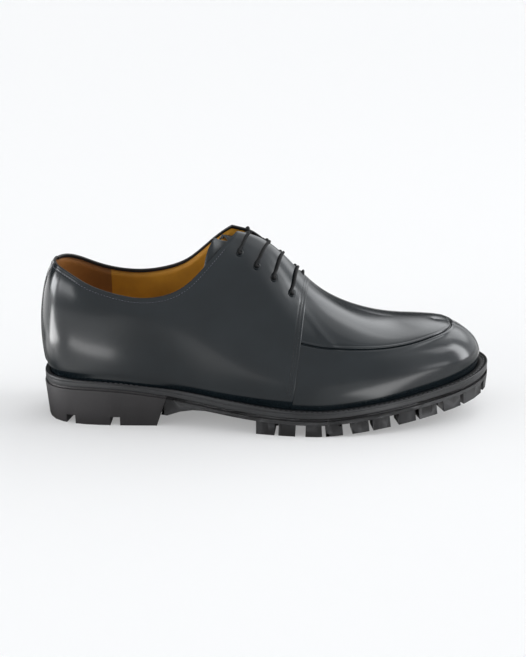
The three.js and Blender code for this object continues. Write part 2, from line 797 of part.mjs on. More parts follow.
const PIECES = [
  ['heel', buildHeel(), RUBBER],
  ['outsole', buildOutsole(), RUBBER],
  ['midsole', buildMidsole(), WELTING],
  ['welt', buildWelt(), WELTING],
  ['insole', buildInsole(), LINING],
  ['upper', buildUpper(), LEATHER],
  ['tongue', buildTongue(), LEATHER],
];
for (let i = 0; i < EYELETS; i += 1) PIECES.push([`lace_bar_${i + 1}`, buildLace(i), CORD]);

const shoe = new THREE.Group();
const box = new THREE.Box3();
for (const [name, solid, finish] of PIECES) {
  const mesh = new THREE.Mesh(toGeometry(solid), new THREE.MeshStandardMaterial(finish));
  mesh.name = name;
  shoe.add(mesh);
  box.union(new THREE.Box3().setFromObject(mesh));
}

// The origin is under the middle of the shoe, on the floor.
const middle = box.getCenter(new THREE.Vector3());
for (const mesh of shoe.children) mesh.position.set(-middle.x, -middle.y, -box.min.z);

export default shoe;
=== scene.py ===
"""Looks of a right dress shoe: an apron-front derby in polished black leather on a lugged sole.

Shapes are worked out in millimetres from the heel back, +X to the toe, +Y to the big toe side
and +Z up, and are put into the meshes in metres at the frame's own place.
"""

from __future__ import annotations

import logging
import math
from dataclasses import dataclass
from enum import Enum
from typing import Callable, Optional, Sequence, Union

import bpy
import numpy as np
from mathutils import Matrix, Vector


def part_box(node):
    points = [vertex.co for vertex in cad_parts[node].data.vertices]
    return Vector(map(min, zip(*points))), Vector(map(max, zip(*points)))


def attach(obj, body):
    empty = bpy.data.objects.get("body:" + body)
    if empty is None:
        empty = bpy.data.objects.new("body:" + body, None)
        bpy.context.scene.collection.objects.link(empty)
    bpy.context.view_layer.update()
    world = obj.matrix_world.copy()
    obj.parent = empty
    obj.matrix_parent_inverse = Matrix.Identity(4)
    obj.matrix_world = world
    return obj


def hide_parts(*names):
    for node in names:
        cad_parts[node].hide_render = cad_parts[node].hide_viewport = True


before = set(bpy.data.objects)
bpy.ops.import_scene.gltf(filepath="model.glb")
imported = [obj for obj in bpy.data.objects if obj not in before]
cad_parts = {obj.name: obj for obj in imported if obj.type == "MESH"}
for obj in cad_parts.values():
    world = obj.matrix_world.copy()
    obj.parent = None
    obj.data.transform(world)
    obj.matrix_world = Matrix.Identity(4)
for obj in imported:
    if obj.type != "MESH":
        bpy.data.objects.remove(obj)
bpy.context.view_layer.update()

log = logging.getLogger("shoe")
Array = np.ndarray
Curve = Callable[[Array], Array]
MM = 0.001


# Curves and the last's surface


def spline(values: Sequence[float], closed: bool) -> Curve:
    """Cubic spline through evenly spaced values.

    The second derivatives solve the usual three-term system, cyclic where the curve is closed
    and zero at both ends where it is open.

    Args:
        values: The values at 0, 1, 2 and so on.
        closed: Whether the curve runs round to its start.

    Returns:
        A function of a place counted in table rows.
    """
    v = np.asarray(values, float)
    n = len(v)
    system = 4 * np.eye(n) + np.eye(n, k=1) + np.eye(n, k=-1)
    turn = 6 * (np.roll(v, -1) - 2 * v + np.roll(v, 1))
    if closed:
        system[0, -1] += 1
        system[-1, 0] += 1
    else:
        system[0], system[-1] = np.eye(n)[0], np.eye(n)[-1]
        turn[0] = turn[-1] = 0
    bend = np.linalg.solve(system, turn)

    def at(place: Array) -> Array:
        """Value at a place: the straight line between rows plus the cubic's sag."""
        u = np.asarray(place, float)
        u = u % n if closed else np.clip(u, -0.5, n - 0.5)
        i = np.floor(u).astype(int) % n if closed else np.clip(np.floor(u).astype(int), 0, n - 2)
        j = (i + 1) % n
        b = u - i
        a = 1 - b
        return a * v[i] + b * v[j] + ((a**3 - a) * bend[i] + (b**3 - b) * bend[j]) / 6

    return at


def smooth(low: float, high: float, x: Array) -> Array:
    """Smooth step: 0 up to low, 1 from high, 3s^2 - 2s^3 between."""
    s = np.clip((np.asarray(x, float) - low) / (high - low), 0, 1)
    return s * s * (3 - 2 * s)


def bump(distance: Array, width: float) -> Array:
    """Bell of height 1: exp(-(distance / width)^2)."""
    return np.exp(-((np.asarray(distance, float) / width) ** 2))


def unit(vectors: Array) -> Array:
    """Vectors scaled to length 1."""
    return vectors / np.maximum(np.linalg.norm(vectors, axis=-1, keepdims=True), 1e-9)


def along(points: Array, axis: int) -> Array:
    """Running length of a grid of points along one of its axes, from 0."""
    steps = np.linalg.norm(np.diff(points, axis=axis), axis=-1)
    pad = [(0, 0)] * steps.ndim
    pad[axis] = (1, 0)
    return np.pad(np.cumsum(steps, axis=axis), pad)


COLUMNS = (
    "latX", "latY", "medX", "medY", "crownX", "crownY", "crownZ",
    "latBulge", "medBulge", "lean", "shoulder", "ridge", "welt",
)
SECTIONS = np.array([
    [.010, .000, .010, .000, .130, .000, .930, .104, .104, .396, .87, .28, .55],
    [.037, -.230, .037, .230, .137, .000, .930, .086, .086, .390, .88, .28, .56],
    [.120, -.318, .123, .318, .167, .000, .935, .050, .050, .377, .88, .25, .56],
    [.220, -.335, .220, .320, .233, .000, .957, .030, .040, .377, .86, .24, .52],
    [.320, -.350, .317, .295, .320, .010, .989, .030, .045, .377, .74, .26, .52],
    [.413, -.410, .407, .295, .407, .030, .990, .035, .050, .358, .52, .33, .64],
    [.507, -.470, .500, .350, .500, .050, .926, .040, .045, .340, .42, .36, .84],
    [.600, -.503, .597, .425, .587, .065, .691, .038, .035, .330, .48, .37, .94],
    [.693, -.490, .693, .460, .677, .070, .492, .032, .030, .330, .66, .415, .97],
    [.783, -.435, .790, .450, .760, .075, .385, .028, .028, .285, .74, .48, .97],
    [.863, -.350, .873, .405, .820, .080, .351, .028, .028, .222, .80, .58, 1.0],
    [.942, -.210, .947, .320, .860, .082, .324, .030, .030, .155, .78, .71, 1.04],
    [.982, .050, .982, .050, .873, .078, .308, .034, .034, .116, .72, .79, 1.05],
])
AROUND = 2 * (len(SECTIONS) - 1)


@dataclass(frozen=True)
class Sizes:
    """Sizes that the pieces share, in millimetres."""

    length: float = 300.0
    ball_width: float = 100.0
    instep: float = 106.0
    heel_lift: float = 14.2
    toe_spring: float = 17.0
    spring_start: float = 183.0
    spring_bend: float = 1.35
    gap: float = 0.3
    wall: float = 2.0
    lap: float = 1.1
    welt_width: float = 6.2
    welt_thick: float = 2.7
    midsole_thick: float = 3.0
    outsole_thick: float = 4.0
    lug_height: float = 8.0
    collar: float = 106.0
    collar_step: float = 16.25
    slit_top: float = 4.2
    slit_low: float = 2.6
    slit_end: float = 1.1
    throat: float = 177.0
    eyelet_x: float = 131.5
    eyelet_pitch: float = 11.0
    eyelets: int = 4
    inset_top: float = 17.5
    inset_low: float = 30.0
    inset_bend: float = 0.55
    front_crown: float = 7.1
    front_foot: float = 6.5
    stand_off: float = 3.2
    sunk: float = 1.7

    @property
    def sole_thick(self) -> float:
        """Welt top to tread under the ball."""
        layers = self.welt_thick + self.gap + self.midsole_thick + self.gap
        return layers + self.outsole_thick + self.lug_height


class Last:
    """The foot-shaped surface that the leather is pulled over.

    Place u runs round the foot through the table's rows, outer side heel to toe and back along
    the inner side. Share t runs from the feather line up to the crown.
    """

    HEEL_RISE = (0.92, 1.0, 0.74, 0.32, 0.06, 0, 0, 0, 0)
    COLLAR_LAT = (1.01, 0.985, 0.909, 0.855, 0.824, 0.832, 0.898, 1.042, 1.172, 1.24)
    COLLAR_MED = (1.01, 0.985, 0.915, 0.870, 0.861, 0.887, 0.955, 1.090, 1.185, 1.24)

    def __init__(self, sizes: Sizes) -> None:
        """Makes the table's columns into curves."""
        self.sizes = s = sizes
        self.foot_x = self._column("latX", "medX", s.length)
        self.foot_y = self._column("latY", "medY", s.ball_width)
        self.crown_x = self._column("crownX", "crownX", s.length)
        self.crown_y = self._column("crownY", "crownY", s.ball_width)
        self.crown_z = self._column("crownZ", "crownZ", s.instep)
        self.bulge = self._column("latBulge", "medBulge", s.ball_width)
        self.lean = self._column("lean", "lean", s.instep)
        self.shoulder = self._column("shoulder", "shoulder", 1)
        self.ridge = self._column("ridge", "ridge", 1)
        self.welt = self._column("welt", "welt", s.welt_width)
        self.heel_rise = spline(self.HEEL_RISE, False)
        self.collar_lat = spline(self.COLLAR_LAT, False)
        self.collar_med = spline(self.COLLAR_MED, False)

    @staticmethod
    def _column(outer: str, inner: str, scale: float) -> Curve:
        """Two columns of the table as one closed curve round the foot."""
        there = SECTIONS[:, COLUMNS.index(outer)] * scale
        back = SECTIONS[:, COLUMNS.index(inner)] * scale
        return spline(np.concatenate([there, back[1:-1][::-1]]), True)

    def spring(self, x: Array) -> Array:
        """Height of the tread above the floor: a power curve from the ball to the toe."""
        s = self.sizes
        run = np.maximum(0, np.asarray(x, float) - s.spring_start) / (s.length - s.spring_start)
        return s.toe_spring * run**s.spring_bend

    def welt_top(self, x: Array) -> Array:
        """Height of the feather line: sole, toe spring and the heel's lift."""
        share = np.clip(np.asarray(x, float) / self.sizes.length, 0, 1.02)
        rise = self.heel_rise(share * (len(self.HEEL_RISE) - 1))
        return self.sizes.sole_thick + self.spring(x) + self.sizes.heel_lift * rise

    def point(self, u: Array, t: Array) -> Array:
        """Point of the last: a cubic Bezier from the feather line to the crown.

        Its first handle leans outwards by the bulge at the height of the lean, and its second
        lies level with the crown, outwards by the shoulder's share of the way.
        """
        u, t = np.broadcast_arrays(np.asarray(u, float), np.asarray(t, float))
        fx, fy, cx, cy = self.foot_x(u), self.foot_y(u), self.crown_x(u), self.crown_y(u)
        fz, cz = self.welt_top(fx), self.crown_z(u) + self.welt_top(cx)
        dx, dy = fx - cx, fy - cy
        reach = np.hypot(dx, dy)
        dx, dy = dx / reach, dy / reach
        bulge, wide = self.bulge(u), reach * self.shoulder(u)
        foot = np.stack([fx, fy, fz], -1)
        side = np.stack([fx + dx * bulge, fy + dy * bulge, fz + self.lean(u)], -1)
        top = np.stack([cx + dx * wide, cy + dy * wide, cz], -1)
        crown = np.stack([cx, cy, cz], -1)
        t = t[..., None]
        r = 1 - t
        return r**3 * foot + 3 * r * r * t * side + 3 * r * t * t * top + t**3 * crown

    def normal(self, u: Array, t: Array) -> Array:
        """Outward normal: the cross product of the two tangents, and on the crown the normal
        of the crown's own line."""
        u, t = np.broadcast_arrays(np.asarray(u, float), np.asarray(t, float))
        step = 0.01
        round_ = self.point(u + step, t) - self.point(u - step, t)
        up = self.point(u, np.minimum(t + step, 1)) - self.point(u, np.maximum(t - step, 0))
        side = unit(np.cross(round_, up))
        line = self.point(u + step, 1.0) - self.point(u - step, 1.0)
        sign = np.where(line[..., 0] < 0, -1.0, 1.0)
        crown = np.stack([-line[..., 2] * sign, 0 * sign, np.abs(line[..., 0]) + 1e-6], -1)
        return unit(np.where((t > 0.999)[..., None], unit(crown), side))

    def outline(self, u: Array, grow: Array) -> Array:
        """Feather line moved outwards in plan along its own normal."""
        step = 0.02
        dx = self.foot_x(u + step) - self.foot_x(u - step)
        dy = self.foot_y(u + step) - self.foot_y(u - step)
        size = np.hypot(dx, dy)
        return np.stack([self.foot_x(u) + grow * dy / size, self.foot_y(u) - grow * dx / size], -1)

    def slit_half(self, x: Array) -> Array:
        """Half the gap between the facings, narrowing down to the throat."""
        s = self.sizes
        down = np.clip((x - s.eyelet_x) / (s.throat - s.eyelet_x), 0, 1)
        half = s.slit_top + (s.slit_low - s.slit_top) * down
        return half + (s.slit_end - half) * smooth(s.throat - 9, s.throat + 1, x)

    def is_cut(self, u: Array, t: Array) -> Array:
        """Whether a point lies above the collar line or within the slit."""
        s = self.sizes
        p = self.point(u, t)
        side = np.where(u % AROUND <= AROUND / 2, self.collar_lat(p[..., 0] / s.collar_step),
                        self.collar_med(p[..., 0] / s.collar_step))
        last = (len(self.COLLAR_LAT) - 1) * s.collar_step
        above = (p[..., 0] < last) & (p[..., 2] > s.collar * side)
        crown = self.point(u, 1.0)
        across = np.hypot(p[..., 0] - crown[..., 0], p[..., 1] - crown[..., 1])
        slit = (crown[..., 0] < s.throat + 6) & (across < self.slit_half(crown[..., 0]))
        return above | slit

    def leaned(self, own: Array, t: Array) -> Array:
        """Columns near the quarter's front edge lean with it as they go down.

        Args:
            own: Signed place, positive on the outer side and negative on the inner side.
            t: Share up the section.

        Returns:
            The place round the foot, signed as own.
        """
        s = self.sizes
        size = np.abs(own)
        near = np.maximum(0, 1 - np.abs(size - s.front_crown) / 1.5)
        edge = s.front_foot + (s.front_crown - s.front_foot) * t
        return np.where(own < 0, -1, 1) * (size + (edge - s.front_crown) * near)

    def top_share(self, own: Array) -> Array:
        """Share at which each column is cut, found by halving."""
        low, high = np.full(own.shape, 0.2), np.ones(own.shape)
        for _ in range(24):
            middle = (low + high) / 2
            cut = self.is_cut(self.leaned(own, middle), middle)
            low, high = np.where(cut, low, middle), np.where(cut, middle, high)
        return low

    def stand_off(self, u: Array, t: Array) -> Array:
        """How far the inner facing stands off the instep at its top corner, and how much
        lower than the outer one it lies further down."""
        u, t = np.broadcast_arrays(np.asarray(u, float) % AROUND, np.asarray(t, float))
        inner = u > AROUND / 2
        own = np.where(inner, AROUND - u, u)
        near = smooth(0, 1, np.maximum(0, 1 - np.abs(own - 5.2) / 1.3))
        off = np.where(inner, self.sizes.stand_off * near * smooth(0.45, 0.95, t), 0)
        across = np.where(inner, t - 1, 1 - t)
        run = smooth(5.55, 6.0, own) * smooth(7.5, 6.9, own)
        return off - self.sizes.sunk * run * smooth(0.08, -0.08, across) * smooth(0.7, 0.9, t)

    def place_of_crown(self, x: float) -> float:
        """Place on the outer side whose crown lies at x, found by halving."""
        low, high = 0.0, AROUND / 2
        for _ in range(30):
            middle = (low + high) / 2
            low, high = (low, middle) if self.crown_x(middle) > x else (middle, high)
        return low

    def eyelets(self) -> list[tuple[float, float]]:
        """Place and share of each eyelet, outer and inner in turn, from the top pair down."""
        s = self.sizes
        found = []
        for i in range(s.eyelets):
            own = self.place_of_crown(s.eyelet_x + i * s.eyelet_pitch)
            down = (i / (s.eyelets - 1)) ** s.inset_bend
            inset = s.inset_top + (s.inset_low - s.inset_top) * down
            for u in (own, AROUND - own):
                top = float(self.top_share(np.array([own if u == own else -own]))[0])
                t = np.linspace(top, 0.1, 400)
                way = along(self.point(u, t), 0)
                found.append((u, float(np.interp(inset, way, t))))
        return found


SIZES = Sizes()
LAST = Last(SIZES)


def source_place() -> Array:
    """Where the heel-back frame's origin lies in the part's own frame, in millimetres.

    The midsole's box in the frame is compared with the same outline worked out here.
    """
    u = np.linspace(0, AROUND, 81)
    edge = LAST.outline(u, LAST.welt(u) - 0.2)
    low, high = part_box("midsole")
    middle = (np.array(low) + np.array(high)) / 2 / MM
    own = (edge.min(0) + edge.max(0)) / 2
    return np.array([middle[0] - own[0], middle[1] - own[1], 0.0])


PLACE = source_place()


# Meshes


def add_mesh(name: str, points: Array, faces: Array, uv: Optional[Array] = None,
             sharp: Optional[float] = None) -> bpy.types.Object:
    """Adds a mesh object from arrays, in metres at the frame's place.

    Args:
        name: Name of the piece.
        points: Corners in millimetres, heel-back frame.
        faces: Corner numbers, four to a face; a triangle repeats its last one.
        uv: Place of each corner on the piece's own map, in millimetres.
        sharp: Angle in degrees past which an edge is shaded sharp.

    Returns:
        The new object.
    """
    faces = np.asarray(faces, np.int64)
    distinct = faces[:, 3] != faces[:, 2]
    counts = np.where(distinct, 4, 3)
    keep = np.ones(faces.shape, bool)
    keep[~distinct, 3] = False
    loops = faces[keep]
    mesh = bpy.data.meshes.new(name)
    mesh.vertices.add(len(points))
    mesh.vertices.foreach_set("co", ((points + PLACE) * MM).astype(np.float32).ravel())
    mesh.loops.add(len(loops))
    mesh.loops.foreach_set("vertex_index", loops.astype(np.int32))
    mesh.polygons.add(len(faces))
    starts = np.concatenate([[0], np.cumsum(counts)[:-1]])
    mesh.polygons.foreach_set("loop_start", starts.astype(np.int32))
    mesh.update(calc_edges=True)
    mesh.validate()
    mesh.polygons.foreach_set("use_smooth", np.ones(len(mesh.polygons), bool))
    if uv is not None:
        layer = mesh.uv_layers.new(name="surface")
        at = np.zeros(len(mesh.loops), np.int32)
        mesh.loops.foreach_get("vertex_index", at)
        layer.data.foreach_set("uv", (uv[at] * MM).astype(np.float32).ravel())
    if sharp is not None:
        mesh.set_sharp_from_angle(angle=math.radians(sharp))
    piece = bpy.data.objects.new(name, mesh)
    bpy.context.scene.collection.objects.link(piece)
    return piece


def numbered(grid: Array) -> Array:
    """Corner numbers of a grid of points."""
    return np.arange(grid.shape[0] * grid.shape[1]).reshape(grid.shape[:2])


def grid_faces(index: Array, flip: bool = False) -> Array:
    """Quads between neighbours of a grid of corner numbers; flip turns them over."""
    a, b, c, d = index[:-1, :-1], index[1:, :-1], index[1:, 1:], index[:-1, 1:]
    faces = np.stack([a, d, c, b] if flip else [a, b, c, d], -1).reshape(-1, 4)
    same = faces == np.roll(faces, -1, axis=1)
    pinched = np.flatnonzero(same.any(1))
    for k in pinched:
        left = list(dict.fromkeys(faces[k].tolist()))
        faces[k] = (left + [left[-1]] * 4)[:4] if len(left) == 3 else faces[k][0]
    return faces[[len(set(f)) > 2 for f in faces.tolist()]] if len(pinched) else faces


@dataclass
class Grid:
    """A surface given as a grid of points, with samples between its lines."""

    points: Array

    def at(self, i: Array, j: Array) -> Array:
        """Point between grid lines, by straight weights of the four corners."""
        n, m = self.points.shape[:2]
        i, j = np.clip(i, 0, n - 1.001), np.clip(j, 0, m - 1.001)
        a, b = np.floor(i).astype(int), np.floor(j).astype(int)
        p, q = (i - a)[..., None], (j - b)[..., None]
        low = self.points[a, b] * (1 - p) + self.points[a + 1, b] * p
        high = self.points[a, b + 1] * (1 - p) + self.points[a + 1, b + 1] * p
        return low * (1 - q) + high * q

    def normal(self, i: Array, j: Array) -> Array:
        """Normal between grid lines, from the differences either way."""
        step = 0.6
        return unit(np.cross(self.at(i + step, j) - self.at(i - step, j),
                             self.at(i, j + step) - self.at(i, j - step)))

    def uv(self) -> Array:
        """Map in millimetres: running lengths along the middle row and column."""
        n, m = self.points.shape[:2]
        u = along(self.points[:, m // 2], 0)
        v = along(self.points[n // 2], 0)
        return np.stack(np.meshgrid(u, v, indexing="ij"), -1).reshape(-1, 2)


def tube(path: Array, radius: Union[float, Array], sides: int = 12) -> tuple[Array, Array, Array]:
    """A round cord along a path: circles carried along by the least turn, ends closed.

    Args:
        path: Points of the middle line.
        radius: Radius in millimetres, one or one per point.
        sides: Corners of each circle, an even number.

    Returns:
        Corners, faces and the map.
    """
    n = len(path)
    radius = np.broadcast_to(np.asarray(radius, float), (n,))
    tangent = unit(np.gradient(path, axis=0))
    side = np.zeros((n, 3))
    first = np.cross(tangent[0], [0.0, 0.0, 1.0])
    if np.linalg.norm(first) < 0.2:
        first = np.cross(tangent[0], [0.0, 1.0, 0.0])
    side[0] = unit(first)
    for k in range(1, n):
        side[k] = unit(side[k - 1] - tangent[k] * (side[k - 1] @ tangent[k]))
    other = np.cross(tangent, side)
    angle = np.linspace(0, 2 * np.pi, sides, endpoint=False)
    ring = (side[:, None] * np.cos(angle)[None, :, None]
            + other[:, None] * np.sin(angle)[None, :, None])
    points = path[:, None] + ring * radius[:, None, None]
    index = np.arange(n * sides).reshape(n, sides)
    faces = grid_faces(np.concatenate([index, index[:, :1]], 1))
    ends = []
    for row, turn in ((index[0], True), (index[-1], False)):
        for k in range(1, sides - 2, 2):
            quad = [row[0], row[k], row[k + 1], row[min(k + 2, sides - 1)]]
            ends.append(quad if turn else quad[::-1])
    length = along(path, 0)
    uv = np.stack([np.repeat(length, sides), np.tile(angle * radius.mean(), n)], -1)
    return points.reshape(-1, 3), np.concatenate([faces, np.array(ends)]), uv


def joined(parts: Sequence[tuple[Array, Array, Array]]) -> tuple[Array, Array, Array]:
    """Several meshes as one: corners one after another, faces renumbered."""
    points, faces, maps, start = [], [], [], 0
    for p, f, m in parts:
        points.append(p)
        faces.append(f + start)
        maps.append(m)
        start += len(p)
    return np.concatenate(points), np.concatenate(faces), np.concatenate(maps)


def stitches(path: Array, normals: Array, pitch: float, size: float, sink: float = 0.1,
             fill: float = 0.68) -> tuple[Array, Array, Array]:
    """A row of stitches: small bowed threads laid along a path.

    Each thread is a six-sided spindle. Its middle stands out by most of its thickness and its
    ends dip into their holes: height = size * (0.75 - 1.6 s^4) with s from -1 to 1.

    Args:
        path: Points of the row on the leather.
        normals: The leather's normal at each.
        pitch: From one hole to the next.
        size: Radius of the thread.
        sink: How deep the whole row lies.
        fill: Share of the pitch that a thread covers.

    Returns:
        Corners, faces and the map.
    """
    way = along(path, 0)
    count = max(2, int(way[-1] / pitch))
    middle = (np.arange(count) + 0.5) * way[-1] / count
    centre = np.stack([np.interp(middle, way, path[:, k]) for k in range(3)], -1)
    front = np.stack([np.interp(middle + 0.2, way, path[:, k]) for k in range(3)], -1)
    up = unit(np.stack([np.interp(middle, way, normals[:, k]) for k in range(3)], -1))
    tangent = unit(front - centre)
    side = unit(np.cross(up, tangent))
    s = np.array([-1.0, -0.72, 0.0, 0.72, 1.0])
    thick = size * np.array([0.35, 0.95, 1.0, 0.95, 0.35])
    angle = np.linspace(0, 2 * np.pi, 6, endpoint=False)
    local_x = s * pitch * fill / 2
    local_z = size * (0.75 - 1.6 * s**4) - sink
    centres = (centre[:, None] + tangent[:, None] * local_x[None, :, None]
               + up[:, None] * local_z[None, :, None])
    ring = (side[:, None, None] * np.cos(angle)[None, None, :, None]
            + up[:, None, None] * np.sin(angle)[None, None, :, None])
    points = centres[:, :, None] + ring * thick[None, :, None, None]
    index = np.arange(5 * 6).reshape(5, 6)
    one = grid_faces(np.concatenate([index, index[:, :1]], 1), flip=True)
    caps = np.array([[0, 1, 2, 3], [0, 3, 4, 5], [27, 26, 25, 24], [29, 28, 27, 24]])
    one = np.concatenate([one, caps])
    faces = (one[None] + 30 * np.arange(count)[:, None, None]).reshape(-1, 4)
    uv = np.zeros((count * 30, 2))
    uv[:, 0] = np.repeat(middle, 30)
    return points.reshape(-1, 3), faces, uv


# Materials


def operator(operation: str, turned: bool = False) -> Callable[["Value", "Number"], "Value"]:
    """A method that stands for an operator by adding one Math node.

    Args:
        operation: The node's operation.
        turned: Whether the other value comes first.

    Returns:
        The method.
    """

    def method(self: "Value", other: "Number") -> "Value":
        """The node on both values."""
        first, second = (other, self) if turned else (self, other)
        return self.dress.math(operation, first, second)

    return method


class Value:
    """A number socket that the operators + - * / work on, adding Math nodes."""

    def __init__(self, dress: "Graph", socket: bpy.types.NodeSocket) -> None:
        """Keeps the socket and the material it belongs to."""
        self.dress = dress
        self.socket = socket

    __add__, __radd__ = operator("ADD"), operator("ADD", True)
    __sub__, __rsub__ = operator("SUBTRACT"), operator("SUBTRACT", True)
    __mul__, __rmul__ = operator("MULTIPLY"), operator("MULTIPLY", True)
    __truediv__ = operator("DIVIDE")


Number = Union[float, Value]


class Graph:
    """A node tree under construction, with a vector that its patterns are laid out on."""

    def __init__(self, tree: bpy.types.NodeTree, place: str) -> None:
        """Empties the tree and adds the coordinates.

        Args:
            tree: The tree of a material or of the world.
            place: Which coordinates the patterns use.
        """
        self.tree = tree
        self.tree.nodes.clear()
        self.place = self.node("ShaderNodeTexCoord", out=place)

    def node(self, kind: str, settings: Optional[dict] = None, inputs: Optional[dict] = None,
             out: Union[int, str] = 0) -> Value:
        """Adds any node.

        Args:
            kind: The node's type.
            settings: Its own settings, such as an operation, set first.
            inputs: Values or links of its sockets, by name or number.
            out: The output that is wanted.

        Returns:
            That output.
        """
        made = self.tree.nodes.new(kind)
        for key, value in (settings or {}).items():
            setattr(made, key, value)
        for key, value in (inputs or {}).items():
            self._feed(made.inputs[key], value)
        return Value(self, made.outputs[out])

    def _feed(self, socket: bpy.types.NodeSocket, value: object) -> None:
        """Links or sets one socket."""
        if isinstance(value, Value):
            self.tree.links.new(value.socket, socket)
        else:
            socket.default_value = value

    def math(self, operation: str, a: "Number", b: "Number" = 0.0) -> "Value":
        """One Math node by name."""
        return self.node("ShaderNodeMath", {"operation": operation}, {0: a, 1: b})

    def noise(self, scale: float, detail: float = 3, rough: float = 0.5,
              vector: Optional[Value] = None) -> Value:
        """Noise on the piece's own coordinates; scale is in cells per metre."""
        inputs = {"Vector": vector or self.place, "Scale": scale, "Detail": detail,
                  "Roughness": rough}
        return self.node("ShaderNodeTexNoise", {}, inputs)

    def cells(self, scale: float, feature: str = "F1", vector: Optional[Value] = None) -> Value:
        """Distance in a Voronoi pattern; scale is in cells per metre."""
        return self.node("ShaderNodeTexVoronoi", {"feature": feature},
                         {"Vector": vector or self.place, "Scale": scale}, "Distance")

    def band(self, value: Value, low: float, high: float) -> Value:
        """Smooth step of a value from low to high."""
        return self.node("ShaderNodeMapRange", {"interpolation_type": "SMOOTHSTEP"},
                         {"Value": value, "From Min": low, "From Max": high})

    def part(self, axis: str, vector: Optional[Value] = None) -> Value:
        """One coordinate of a vector."""
        return self.node("ShaderNodeSeparateXYZ", {}, {0: vector or self.place}, axis)

    def blend(self, factor: Number, a: object, b: object) -> Value:
        """Mix of two colours."""
        node = self.tree.nodes.new("ShaderNodeMix")
        node.data_type = "RGBA"
        self._feed(node.inputs[0], factor)
        self._feed(node.inputs[6], a)
        self._feed(node.inputs[7], b)
        return Value(self, node.outputs[2])

    def window(self, value: "Value", half: float, soft: float) -> "Value":
        """1 where a value is within half of zero, fading to 0 over soft on each side."""
        return 1 - self.band(self.math("ABSOLUTE", value), half - soft / 2, half + soft / 2)


class Dress(Graph):
    """A material's nodes and the Principled shader that they feed."""

    def __init__(self, name: str) -> None:
        """Makes an empty material with one shader."""
        self.material = bpy.data.materials.new(name)
        self.material.use_nodes = True
        super().__init__(self.material.node_tree, "Object")
        self.output = self.tree.nodes.new("ShaderNodeOutputMaterial")
        self.shader = self.tree.nodes.new("ShaderNodeBsdfPrincipled")
        self.tree.links.new(self.shader.outputs[0], self.output.inputs[0])

    def relief(self, height: Number, distance: float, strength: float = 1.0,
               under: Optional[Value] = None) -> Value:
        """Bump of a height, with distance in metres for a height of 1."""
        inputs = {"Height": height, "Distance": distance, "Strength": strength}
        if under is not None:
            inputs["Normal"] = under
        return self.node("ShaderNodeBump", {}, inputs)

    def finish(self, **inputs: object) -> bpy.types.Material:
        """Feeds the shader's sockets, their names written with underscores."""
        for key, value in inputs.items():
            self._feed(self.shader.inputs[key.replace("_", " ")], value)
        return self.material


def colour(r: float, g: float, b: float) -> tuple[float, float, float, float]:
    """A linear colour with full alpha."""
    return (r, g, b, 1.0)


@dataclass(frozen=True)
class PolishedLeather:
    """Smooth black calf with a waxed, burnished shine."""

    name: str = "polished_leather"
    dark: tuple = (0.0035, 0.007, 0.0095)
    light: tuple = (0.006, 0.0105, 0.0135)
    roughness: float = 0.2
    coat: float = 0.3
    coat_roughness: float = 0.1
    grain: float = 0.5

    def make(self) -> bpy.types.Material:
        """Cloudy colour, pores and fine creases under a thin coat."""
        d = Dress(self.name)
        cloud = d.noise(28, 3, 0.6)
        pores = d.cells(1500)
        crease = d.cells(620, "DISTANCE_TO_EDGE")
        waves = d.noise(260, 3, 0.55)
        tone = d.blend(d.band(cloud, 0.35, 0.7), colour(*self.dark), colour(*self.light))
        pits = d.band(pores, 0.0, 0.32)
        lines = d.band(crease, 0.0, 0.12)
        fine = d.relief(pits * 0.35 + lines * 0.45 + waves * 0.9, 0.00006 * self.grain, 0.35)
        swell = d.relief(d.noise(55, 2, 0.5), 0.0006, 0.14, fine)
        shine = self.roughness + (cloud - 0.5) * 0.1 + (1 - pits) * 0.08
        return d.finish(Base_Color=tone, Roughness=shine, Normal=swell, Coat_Weight=self.coat,
                        Coat_Roughness=self.coat_roughness, Coat_IOR=1.45, IOR=1.5)


@dataclass(frozen=True)
class LiningLeather:
    """Matt tan lining, dark brown in the heel's own piece."""

    name: str = "lining_leather"
    tan: tuple = (0.58, 0.27, 0.02)
    deep: tuple = (0.44, 0.195, 0.014)
    brown: tuple = (0.26, 0.1, 0.016)
    joint: float = 43.0
    two_tone: bool = True

    def make(self) -> bpy.types.Material:
        """Soft clouds of tan with a fine nap, changing at the heel piece's joint."""
        d = Dress(self.name)
        cloud = d.noise(45, 4, 0.6)
        nap = d.noise(1800, 3, 0.7)
        worn = d.band(cloud, 0.3, 0.75)
        tone = d.blend(worn, colour(*self.tan), colour(*self.deep))
        if self.two_tone:
            seam = (self.joint + PLACE[0]) * MM
            heel = 1 - d.band(d.part("X"), seam - 0.0002, seam + 0.0002)
            brown = d.blend(worn, colour(*self.brown), colour(*(0.75 * c for c in self.brown)))
            tone = d.blend(heel, tone, brown)
        return d.finish(Base_Color=tone, Roughness=0.58 + nap * 0.1,
                        Normal=d.relief(nap, 0.00008, 0.4))


@dataclass(frozen=True)
class SoleRubber:
    """Matt dark rubber of the tread, heel and edges."""

    name: str = "sole_rubber"
    tone: tuple = (0.021, 0.021, 0.022)
    roughness: float = 0.62
    specks: float = 1.0

    def make(self) -> bpy.types.Material:
        """Fine moulded texture with faint dust."""
        d = Dress(self.name)
        cloud = d.noise(35, 4, 0.6)
        fine = d.noise(1400, 3, 0.6)
        dark = colour(*(0.8 * c for c in self.tone))
        light = colour(*(1.25 * c for c in self.tone))
        tone = d.blend(d.band(cloud, 0.3, 0.75), dark, light)
        return d.finish(Base_Color=tone, Roughness=self.roughness + (cloud - 0.5) * 0.12,
                        Normal=d.relief(fine, 0.0001 * self.specks, 0.5))


